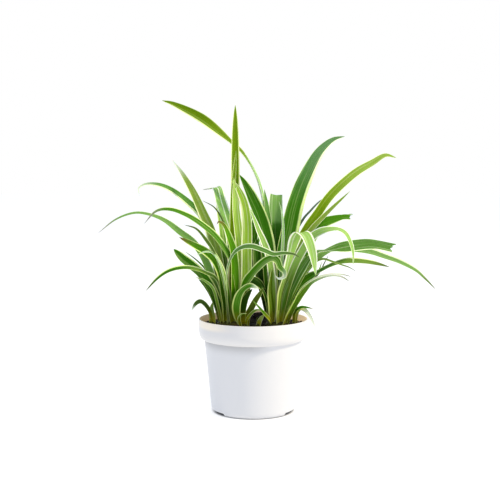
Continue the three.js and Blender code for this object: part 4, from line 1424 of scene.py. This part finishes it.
@dataclass(frozen=True)
class BladeCoat:
    """How a blade's two colours change along it.

    Attributes:
        leaf: The blade.
        tone: A factor for this blade alone.
        base: The colour at the very foot, by up to base_share, over the heights of base_rise: the
        leaves' own paler bases, made brighter as painted light for the sun on them.
        rooted: Where along the blade what holds for its foot ends.
        shade: The factor of a body deep inside the plant, by depth, sideways and height.
        edge_softening: How much less of it the margins take.
        low_edge: The margins' colour low down, by up to low_edge_share.
        warm_blue: The share of blue that is left in a body low down, and warm_edge of that loss
            in a margin.
        tip_share: How far the tip turns to its own colour, over the last stretch.
    """

    leaf: Leaf
    tone: float
    # The leaves' own paler foot, brightened as painted light for the sun on it.
    base: str = "#bcae30"
    base_share: float = 0.7
    base_rise: Span = Span(98.0, 116.0)
    rooted: Span = Span(0.4, 0.7)
    shade: float = 0.27
    shade_depth: Span = Span(-20.0, 2.0)
    shade_middle: float = -9.0
    shade_side: Span = Span(20.0, 42.0)
    shade_rise: Span = Span(140.0, 190.0)
    edge_softening: float = 0.25
    low_edge: str = "#a3b45c"
    low_edge_share: float = 0.5
    low_edge_rise: Span = Span(125.0, 180.0)
    warm_blue: float = 0.3
    warm_edge: float = 0.35
    warm_rise: Span = Span(112.0, 160.0)
    tip_share: float = 0.85
    tip_stretch: Span = Span(0.84, 1.0)

    def _plain(self, along: float, place: Vector) -> tuple[Colour, Colour]:
        """The body's and the margins' colour before any shade.

        Args:
            along: The share of the blade's length.
            place: Where it is.

        Returns:
            The two colours.
        """
        leaf, look, foot = self.leaf, self.leaf.look.value, (self.leaf.foot or self.leaf.look).value
        turned = Span(leaf.change - leaf.gradual, leaf.change).share(along) if leaf.foot else 1.0
        body = blend_colours(paint(foot.body), paint(look.body), turned)
        edge = blend_colours(paint(foot.edge), paint(look.edge), turned)
        # The leaves' own paler foot, brightened as painted light for the sun on it.
        base = (1 - self.base_rise.share(place.z)) * (1 - self.rooted.share(along))
        body = blend_colours(body, paint(self.base), base * self.base_share)
        low = 1 - self.low_edge_rise.share(place.z)
        edge = blend_colours(edge, paint(self.low_edge), low * self.low_edge_share)
        if leaf.tip is not Tip.GREEN:
            dry = self.tip_stretch.share(along) * self.tip_share
            body = blend_colours(body, paint(leaf.tip.value), dry)
            edge = blend_colours(edge, paint(leaf.tip.value), dry)
        return body, edge

    def colours(self, along: float, place: Vector) -> tuple[Colour, Colour]:
        """The body's and the margins' colour at a place.

        Args:
            along: The share of the blade's length.
            place: Where it is.

        Returns:
            The two colours.
        """
        rooted = 1 - self.rooted.share(along)
        lit = 1 - (1 - self.base_rise.share(place.z)) * rooted
        inner = self.shade_depth.share(place.y) * (1 - self.shade_rise.share(place.z)) * lit
        inner *= 1 - self.shade_side.share(abs(place.x - self.shade_middle))
        warm = (1 - self.warm_rise.share(place.z)) * rooted
        dark = blend(1.0, self.shade, inner) * self.tone
        factors = (dark, warm), (blend(dark, 1.0, self.edge_softening), warm * self.warm_edge)
        body, edge = (
            (red * light, green * light, blue * light * blend(1.0, self.warm_blue, warmth), 1.0)
            for (red, green, blue, _), (light, warmth) in zip(self._plain(along, place), factors)
        )
        return body, edge


@dataclass(frozen=True)
class Stock:
    """The fleshy base that a plant's leaves grow from.

    Attributes:
        x: Where its axis stands, across,
        y: and deep.
        half_x: Half its width,
        half_y: and half its depth.
        bottom: The height of its foot.
        top: The height of its top.
        shoulder: How far below the top it is widest.
        flank: (share of the half width, share of the height) up to the shoulder.
        crown: (share of the half width, share of the height) from the shoulder to the top.
        lanes: How many fine lines stand round it.
    """

    x: float
    y: float
    half_x: float
    half_y: float
    bottom: float
    top: float
    shoulder: float = 6.0
    flank: tuple[Point, ...] = ((0.0, 0.0), (0.35, 0.0), (0.75, 0.45), (0.93, 0.8), (1.0, 1.0))
    crown: tuple[Point, ...] = ((0.93, 0.5), (0.8, 0.75), (0.4, 1.0), (0.0, 1.0))
    lanes: float = 12.0
    steps: int = 40
    colour: str = "#4d4a22"

    def shape(self, clay: Clay) -> None:
        """Adds the base to a mesh.

        Args:
            clay: The mesh, with the blades' layers.
        """
        widest = self.top - self.shoulder
        outline = [(out, blend(self.bottom, widest, up)) for out, up in self.flank]
        outline += [(out, blend(widest, self.top, up)) for out, up in self.crown]
        scale = Matrix.Diagonal((self.half_x * MM, self.half_y * MM, MM, 1.0))
        move = Matrix.Translation((self.x * MM, self.y * MM, 0.0)) @ scale
        layers = BladeLayers(clay.mesh)
        for vert in clay.turn(outline, self.steps, move):
            vert[layers.body] = vert[layers.edge] = paint(self.colour)
            vert[layers.lie] = vert.co
            vert[layers.lane] = math.atan2(vert.co.y, vert.co.x) * self.lanes


@dataclass(frozen=True)
class Plant:
    """One grown piece: its base and its leaves, in groups by where they reach."""

    node: str
    stock: Stock
    groups: dict[str, tuple[Leaf, ...]]
    form: BladeForm = BladeForm()

    def build(self, skin: bpy.types.Material, first_seed: int) -> int:
        """Builds a piece for each group, the base with the first.

        Args:
            skin: The material of all blades.
            first_seed: The seed of the first blade.

        Returns:
            The seed for the next plant's first blade.
        """
        seed = first_seed
        for number, (group, leaves) in enumerate(self.groups.items()):
            clay = Clay(f"{self.node}_{group}")
            BladeLayers(clay.mesh)
            if number == 0:
                self.stock.shape(clay)
            for leaf in leaves:
                log.debug("%s: %s", clay.name, leaf.name)
                self.form.shape(clay.mesh, leaf, seed)
                seed += 1
            bmesh.ops.recalc_face_normals(clay.mesh, faces=clay.mesh.faces[:])
            clay.piece(skin, self.node, self.form.crease)
        return seed


PLANTS = (
    Plant(
        "crown_left",
        Stock(x=-25, y=0, half_x=16, half_y=12.5, bottom=58, top=100),
        {"middle": LEFT_MIDDLE, "left": LEFT_LEFT, "front": LEFT_FRONT, "back": LEFT_BACK},
    ),
    Plant(
        "crown_right",
        Stock(x=27, y=0, half_x=14, half_y=12.5, bottom=58, top=100),
        {"middle": RIGHT_MIDDLE, "right": RIGHT_RIGHT, "low": RIGHT_LOW, "back": RIGHT_BACK},
    ),
    Plant(
        "plantlet_left",
        Stock(x=-46, y=-6, half_x=4.6, half_y=4.6, bottom=72, top=99),
        {"leaves": YOUNG_LEFT},
    ),
    Plant(
        "plantlet_front",
        Stock(x=-9, y=-22, half_x=6, half_y=4.6, bottom=72, top=99),
        {"leaves": YOUNG_FRONT},
    ),
    Plant(
        "plantlet_right",
        Stock(x=46.5, y=-4, half_x=4.4, half_y=4.4, bottom=72, top=99),
        {"leaves": YOUNG_RIGHT},
    ),
    Plant(
        "shoot_middle",
        Stock(x=6, y=-13, half_x=3.6, half_y=3, bottom=76, top=98),
        {"leaves": SHOOT},
    ),
)


# ---------------------------------------------------------------- pot


@dataclass(frozen=True)
class Pot:
    """The moulded pot: thin tapered wall, raised rim band, notched foot ring, raised floor.

    Attributes:
        band_bottom: The height of the rim band's lower edge.
        band_full: The height at which the band has its full radius.
        foot_edge: How far the foot ring's lower edge is cut back.
        corner_height: The height at which the rounded lower corner ends.
        shadow_step: How far below the band the wall steps in.
        floor_under: The height of the floor's underside.
        inner_corner: How far above the floor the inner corner ends.
        band_lag: How much higher the inner side widens than the outer.
        pad_radius: The radius of the pad in the middle, which is level with the foot ring,
        pad_slope: the width of its slope,
        pad_inset: and how much smaller it is inside.
        notch_angles: Where the foot ring's notches are, in degrees.
        notch_slack: The ring counts from this share of its inner radius.
        drain_circle: The radius of the circle on which the drainage holes lie.
        crease: Edges steeper than this stay crisp, in degrees.
    """

    height: float = 102.0
    rim_radius: float = 60.0
    band_bottom: float = 79.6
    band_full: float = 90.0
    band_foot_radius: float = 54.5
    body_top_radius: float = 53.7
    body_foot_radius: float = 46.6
    foot_outer: float = 43.6
    foot_inner: float = 40.6
    foot_edge: float = 0.5
    corner_height: float = 7.0
    shadow_step: float = 0.4
    wall: float = 1.5
    floor_under: float = 3.6
    inner_corner: float = 3.0
    band_lag: float = 1.0
    pad_radius: float = 13.0
    pad_slope: float = 1.5
    pad_inset: float = 1.0
    notch_height: float = 3.3
    notch_width: float = 21.0
    notch_angles: tuple[float, ...] = (92.0, 212.0, 332.0)
    notch_slack: float = 0.99
    drain_radius: float = 3.4
    drain_circle: float = 25.0
    drain_count: int = 6
    drill_length: float = 10.0
    steps: int = 240
    corner_steps: int = 6
    band_steps: int = 12
    inner_band_steps: int = 10
    lip_steps: int = 10
    drain_steps: int = 32
    crease: float = 35.0
    finish: PotPlastic = PotPlastic()

    def _foot(self) -> list[Point]:
        """The underside from its middle to the foot ring.

        Returns:
            The points.
        """
        return [
            (0.0, 0.0),
            (self.pad_radius, 0.0),
            (self.pad_radius + self.pad_slope, self.floor_under),
            (self.foot_inner, self.floor_under),
            (self.foot_inner, 0.0),
            (self.foot_outer - self.foot_edge, 0.0),
        ]

    def _outside(self) -> list[Point]:
        """The outer side from the foot ring to the lip.

        Returns:
            The points.
        """
        foot = (self.foot_outer, self.foot_edge)
        corner = (self.body_foot_radius, self.corner_height)
        band_foot = (self.band_foot_radius, self.band_bottom)
        return [
            foot,
            *quarter(foot, corner, self.corner_steps),
            (self.body_top_radius, self.band_bottom - self.shadow_step),
            band_foot,
            *quarter(band_foot, (self.rim_radius, self.band_full), self.band_steps),
        ]

    def _lip(self) -> list[Point]:
        """The rounded lip from the outside over the top.

        Returns:
            The points.
        """
        rounding = self.wall / 2
        middle, level = self.rim_radius - rounding, self.height - rounding
        angles = [math.pi * i / self.lip_steps for i in range(self.lip_steps + 1)]
        return [(middle + rounding * math.cos(a), level + rounding * math.sin(a)) for a in angles]

    def inside(self, gap: float = 0.0) -> list[Point]:
        """The inner side from the floor's middle up to the foot of the band.

        Args:
            gap: How far inside the wall it runs.

        Returns:
            The points.
        """
        floor = self.floor_under + self.wall + gap
        pad = self.pad_radius - self.pad_inset - gap
        inset = self.wall + gap
        return [
            (0.0, inset),
            (pad, inset),
            (pad + self.pad_slope, floor),
            (self.foot_outer - gap, floor),
            (self.body_foot_radius - inset, floor + self.inner_corner),
            (self.band_foot_radius - inset, self.band_bottom + self.band_lag),
        ]

    def _raise_notches(self, mesh: bmesh.types.BMesh) -> None:
        """Lifts the foot ring where its notches are.

        Args:
            mesh: The pot's mesh, in metres.
        """
        reach = math.asin(self.notch_width / 2 / self.foot_outer)
        ring, top = self.foot_inner * self.notch_slack * MM, self.notch_height * MM
        for vert in mesh.verts:
            if math.hypot(vert.co.x, vert.co.y) < ring or vert.co.z > top:
                continue
            angle = math.atan2(vert.co.y, vert.co.x)
            for notch in self.notch_angles:
                off = (angle - math.radians(notch) + math.pi) % math.tau - math.pi
                if abs(off) < reach:
                    vert.co.z = top

    def _drill(self, pot: bpy.types.Object) -> None:
        """Cuts the drainage holes through the floor.

        Args:
            pot: The pot.
        """
        drill = Clay("drill")
        for number in range(self.drain_count):
            angle = math.tau * (number + 0.5) / self.drain_count
            spot = Vector((math.cos(angle), math.sin(angle), 0.0)) * self.drain_circle
            spot.z = self.floor_under
            bmesh.ops.create_cone(
                drill.mesh,
                cap_ends=True,
                segments=self.drain_steps,
                radius1=self.drain_radius * MM,
                radius2=self.drain_radius * MM,
                depth=self.drill_length * MM,
                matrix=Matrix.Translation(spot * MM),
            )
        cutter = drill.harden()
        cut = pot.modifiers.new("drill", "BOOLEAN")
        cut.operation, cut.solver, cut.object = "DIFFERENCE", "EXACT", cutter
        bpy.context.view_layer.update()
        drilled = pot.evaluated_get(bpy.context.evaluated_depsgraph_get())
        result = bpy.data.meshes.new_from_object(drilled)
        pot.modifiers.remove(cut)
        pot.data = result
        result.set_sharp_from_angle(angle=math.radians(self.crease))
        bpy.data.objects.remove(cutter)

    def build(self) -> None:
        """Builds and dresses the pot."""
        inside = self.inside()
        full = (self.rim_radius - self.wall, self.band_full + self.band_lag)
        inside += quarter(inside[-1], full, self.inner_band_steps)
        outline = [*self._foot(), *self._outside(), *self._lip(), *reversed(inside)]
        clay = Clay("nursery_pot")
        clay.turn(outline, self.steps, Matrix.Scale(MM, 4))
        self._raise_notches(clay.mesh)
        self._drill(clay.piece(self.finish.material(), "pot", self.crease))


# ---------------------------------------------------------------- potting mix


@dataclass(frozen=True)
class Ground:
    """The potting mix that fills the pot, with its clods and grit.

    Attributes:
        top: The mean height of its surface.
        edge_drop: How far the surface drops at the wall, over the last edge_width.
        clearance: The gap to the pot's wall.
        fade: The distances from the wall over which the unevenness comes in.
        unevenness: The height of the long waves: one square, by wave_across and wave_deep, and
            one slanted, by slant_across and slant_deep, all in radians to the millimetre.
        mound: The middle of the mound at the back.
        clod: The clods' height, their size, and their slice of the noise.
        grit: The same for the grit.
    """

    pot: Pot
    top: float = 95.0
    edge_drop: float = 1.5
    edge_width: float = 2.0
    clearance: float = 0.3
    fade: Span = Span(0.0, 5.0)
    unevenness: float = 0.7
    wave_across: float = 0.21
    wave_start: float = 1.3
    wave_deep: float = 0.17
    slant_height: float = 0.6
    slant_across: float = 0.09
    slant_deep: float = 0.31
    mound: tuple[float, float] = (8.0, 48.0)
    mound_height: float = 6.5
    mound_spread: float = 13.0
    clod: tuple[float, float, float] = (1.5, 5.0, 3.0)
    grit: tuple[float, float, float] = (0.5, 1.6, 9.0)
    rings: int = 46
    steps: int = 180
    crease: float = 60.0
    finish: PottingMix = PottingMix()

    def relief(self, x: float, y: float) -> float:
        """The height of the uneven top above its mean level.

        Args:
            x: The place across.
            y: The place in depth.

        Returns:
            The height.
        """
        waves = math.sin(x * self.wave_across + self.wave_start) * math.cos(y * self.wave_deep)
        waves += self.slant_height * math.sin(x * self.slant_across - y * self.slant_deep)
        away = math.hypot(x - self.mound[0], y - self.mound[1]) / self.mound_spread
        return self.unevenness * waves + self.mound_height * math.exp(-away * away / 2)

    def surface(self, x: float, y: float) -> float:
        """The height of the fine surface, clods and grit included.

        Args:
            x: The place across.
            y: The place in depth.

        Returns:
            The height.
        """
        fine = sum(
            height * noise.noise(Vector((x, y, slice_at)) / size)
            for height, size, slice_at in (self.clod, self.grit)
        )
        return self.top + self.relief(x, y) + fine

    def build(self) -> None:
        """Builds the filling."""
        pot = self.pot
        reach = pot.rim_radius - pot.wall - self.clearance
        flat = reach - self.edge_width
        outline = [
            *pot.inside(self.clearance),
            (reach, pot.band_full + pot.band_lag),
            (reach, self.top - self.edge_drop),
            *((flat * (1 - i / self.rings), self.top) for i in range(self.rings + 1)),
        ]
        clay = Clay("potting_mix")
        clay.turn(outline, self.steps, Matrix.Scale(MM, 4))
        for vert in clay.mesh.verts:
            if vert.co.z > (self.top - self.edge_drop / 2) * MM:
                x, y = vert.co.x / MM, vert.co.y / MM
                share = self.fade.share(reach - math.hypot(x, y))
                vert.co.z = blend(self.top, self.surface(x, y), share) * MM
        clay.piece(self.finish.material(), "soil", self.crease)


@dataclass(frozen=True)
class Crumbs:
    """Loose crumbs on the potting mix, most of them small and dark.

    Attributes:
        wall_gap: How far from the wall they stay.
        small_bias: How much the small ones outnumber the large.
        tilt: How far they lean either way, in radians.
        depth: Their depth as a share of their width.
        height: Their height as a share of their width.
        proud: How far their middles lie above the ground, as a share of their size.
        dark_bias: How much the dark ones outnumber the pale.
        knobs: How far their corners move, as a share of their size.
    """

    ground: Ground
    count: int = 520
    size: Span = Span(0.5, 1.9)
    small_bias: float = 2.2
    wall_gap: float = 2.6
    tilt: float = 0.7
    depth: Span = Span(0.5, 1.0)
    height: Span = Span(0.4, 0.8)
    proud: float = 0.15
    dark_bias: float = 1.6
    knobs: float = 0.12
    crease: float = 20.0
    seed: int = 7
    finish: LooseCrumbs = LooseCrumbs()

    def _laid(self, draw: random.Random, reach: float) -> tuple[float, Matrix]:
        """Draws a crumb's size and how it lies.

        Args:
            draw: What it is drawn from.
            reach: How far from the pot's axis it may lie.

        Returns:
            Its size, and the transform of a unit ball into the crumb, in metres.
        """
        angle, radius = draw.uniform(0, math.tau), math.sqrt(draw.random()) * reach
        size = blend(self.size.low, self.size.high, draw.random() ** self.small_bias)
        x, y = math.cos(angle) * radius, math.sin(angle) * radius
        turn = Matrix.Rotation(draw.uniform(0, math.tau), 4, "Z")
        tilt = Matrix.Rotation(draw.uniform(-self.tilt, self.tilt), 4, "X")
        depth, height = self.depth.draw(draw), self.height.draw(draw)
        form = Matrix.Diagonal((size, size * depth, size * height, 1))
        spot = Matrix.Translation((x, y, self.ground.surface(x, y) + size * self.proud))
        return size, Matrix.Scale(MM, 4) @ spot @ turn @ tilt @ form

    def build(self) -> None:
        """Builds the crumbs as one piece."""
        draw = random.Random(self.seed)
        clay = Clay("potting_crumbs")
        tone = clay.mesh.verts.layers.float.new("tone")
        pot = self.ground.pot
        for _ in range(self.count):
            size, place = self._laid(draw, pot.rim_radius - pot.wall - self.wall_gap)
            made = bmesh.ops.create_icosphere(
                clay.mesh, subdivisions=1, radius=1.0, matrix=place
            )["verts"]
            shade = draw.random() ** self.dark_bias
            for vert in made:
                knob = [draw.uniform(-self.knobs, self.knobs) * size * MM for _ in range(3)]
                vert.co += Vector(knob)
                vert[tone] = shade
        clay.piece(self.finish.material(), "soil", self.crease)


# ---------------------------------------------------------------- studio


@dataclass(frozen=True)
class Lamp:
    """A square soft box.

    Attributes:
        name: What it is called.
        place: Where it stands, in metres.
        size: The length of its side, in metres.
        power: Its power in watts.
        colour: The colour of its light.
        aim: What it is turned to, in metres.
    """

    name: str
    place: tuple[float, float, float]
    size: float
    power: float
    colour: str
    aim: tuple[float, float, float] = (0.0, 0.0, 0.14)

    def hang(self) -> None:
        """Puts the lamp up, turned to the plant."""
        data = bpy.data.lights.new(self.name, "AREA")
        data.shape, data.size, data.energy = "SQUARE", self.size, self.power
        data.color = paint(self.colour)[:3]
        lamp = set_down(self.name, data)
        lamp.location = self.place
        away = Vector(self.place) - Vector(self.aim)
        lamp.rotation_euler = away.to_track_quat("Z", "Y").to_euler()


@dataclass(frozen=True)
class Studio:
    """Floor, sky, lamps and camera around the plant.

    Attributes:
        eye: Where the camera stands.
        pitch: How far it looks down, in degrees.
        lens: Its focal length, for a sensor of that width.
        clip: The nearest and farthest that it sees, in metres.
        floor_radius: The floor's reach, in metres.
    """

    eye: Eye = Eye()
    pitch: float = 4.46
    lens: float = 66.02
    sensor: float = 36.0
    clip: Span = Span(0.05, 50.0)
    floor_radius: float = 14.0
    floor_steps: int = 96
    floor: StudioFloor = StudioFloor()
    sky: str = "#e6eeff"
    sky_strength: float = 0.84
    backdrop: str = "#ffffff"
    lamps: tuple[Lamp, ...] = (
        Lamp("key_lamp", (1.56, -0.58, 1.85), 0.24, 48.0, "#ffefd0"),
        Lamp("rim_lamp", (-1.2, 1.3, 1.3), 0.8, 5.0, "#f4f8ff"),
    )

    def _raise_sky(self) -> None:
        """A pale sky that lights softly and is plain white behind the plant."""
        world = bpy.data.worlds.new("studio_sky")
        world.use_nodes = True
        tree = world.node_tree
        tree.nodes.clear()
        soft, plain = (tree.nodes.new("ShaderNodeBackground") for _ in range(2))
        soft.inputs["Color"].default_value = paint(self.sky)
        soft.inputs["Strength"].default_value = self.sky_strength
        plain.inputs["Color"].default_value = paint(self.backdrop)
        ray = tree.nodes.new("ShaderNodeLightPath")
        mix = tree.nodes.new("ShaderNodeMixShader")
        output = tree.nodes.new("ShaderNodeOutputWorld")
        tree.links.new(ray.outputs["Is Camera Ray"], mix.inputs["Fac"])
        tree.links.new(soft.outputs[0], mix.inputs[1])
        tree.links.new(plain.outputs[0], mix.inputs[2])
        tree.links.new(mix.outputs[0], output.inputs["Surface"])
        bpy.context.scene.world = world

    def _lay_floor(self) -> None:
        """The pale floor."""
        clay = Clay("studio_floor")
        bmesh.ops.create_circle(
            clay.mesh, cap_ends=True, radius=self.floor_radius, segments=self.floor_steps
        )
        floor = clay.harden()
        floor.data.materials.append(self.floor.material())

    def _place_camera(self) -> None:
        """The camera of the front view."""
        data = bpy.data.cameras.new("front_camera")
        data.lens, data.sensor_width = self.lens, self.sensor
        data.clip_start, data.clip_end = self.clip.low, self.clip.high
        camera = set_down("front_camera", data)
        camera.location = Vector((self.eye.x, -self.eye.distance, self.eye.height)) * MM
        camera.rotation_euler = (math.radians(90 - self.pitch), 0.0, 0.0)
        bpy.context.scene.camera = camera

    def set_up(self) -> None:
        """Sets up everything round the plant."""
        view = bpy.context.scene.view_settings
        view.view_transform, view.look = "Standard", "None"
        self._raise_sky()
        self._lay_floor()
        for lamp in self.lamps:
            lamp.hang()
        self._place_camera()


# ---------------------------------------------------------------- all of it


def main() -> None:
    """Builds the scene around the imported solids."""
    logging.basicConfig(level=logging.INFO, format="%(name)s: %(message)s")
    for thing in list(bpy.data.objects):
        bpy.data.objects.remove(thing)
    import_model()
    Studio().set_up()
    pot = Pot()
    pot.build()
    ground = Ground(pot)
    ground.build()
    Crumbs(ground).build()
    skin = LeafSkin().material()
    seed = 1
    for plant in PLANTS:
        seed = plant.build(skin, seed)


if __name__ == "__main__":
    main()
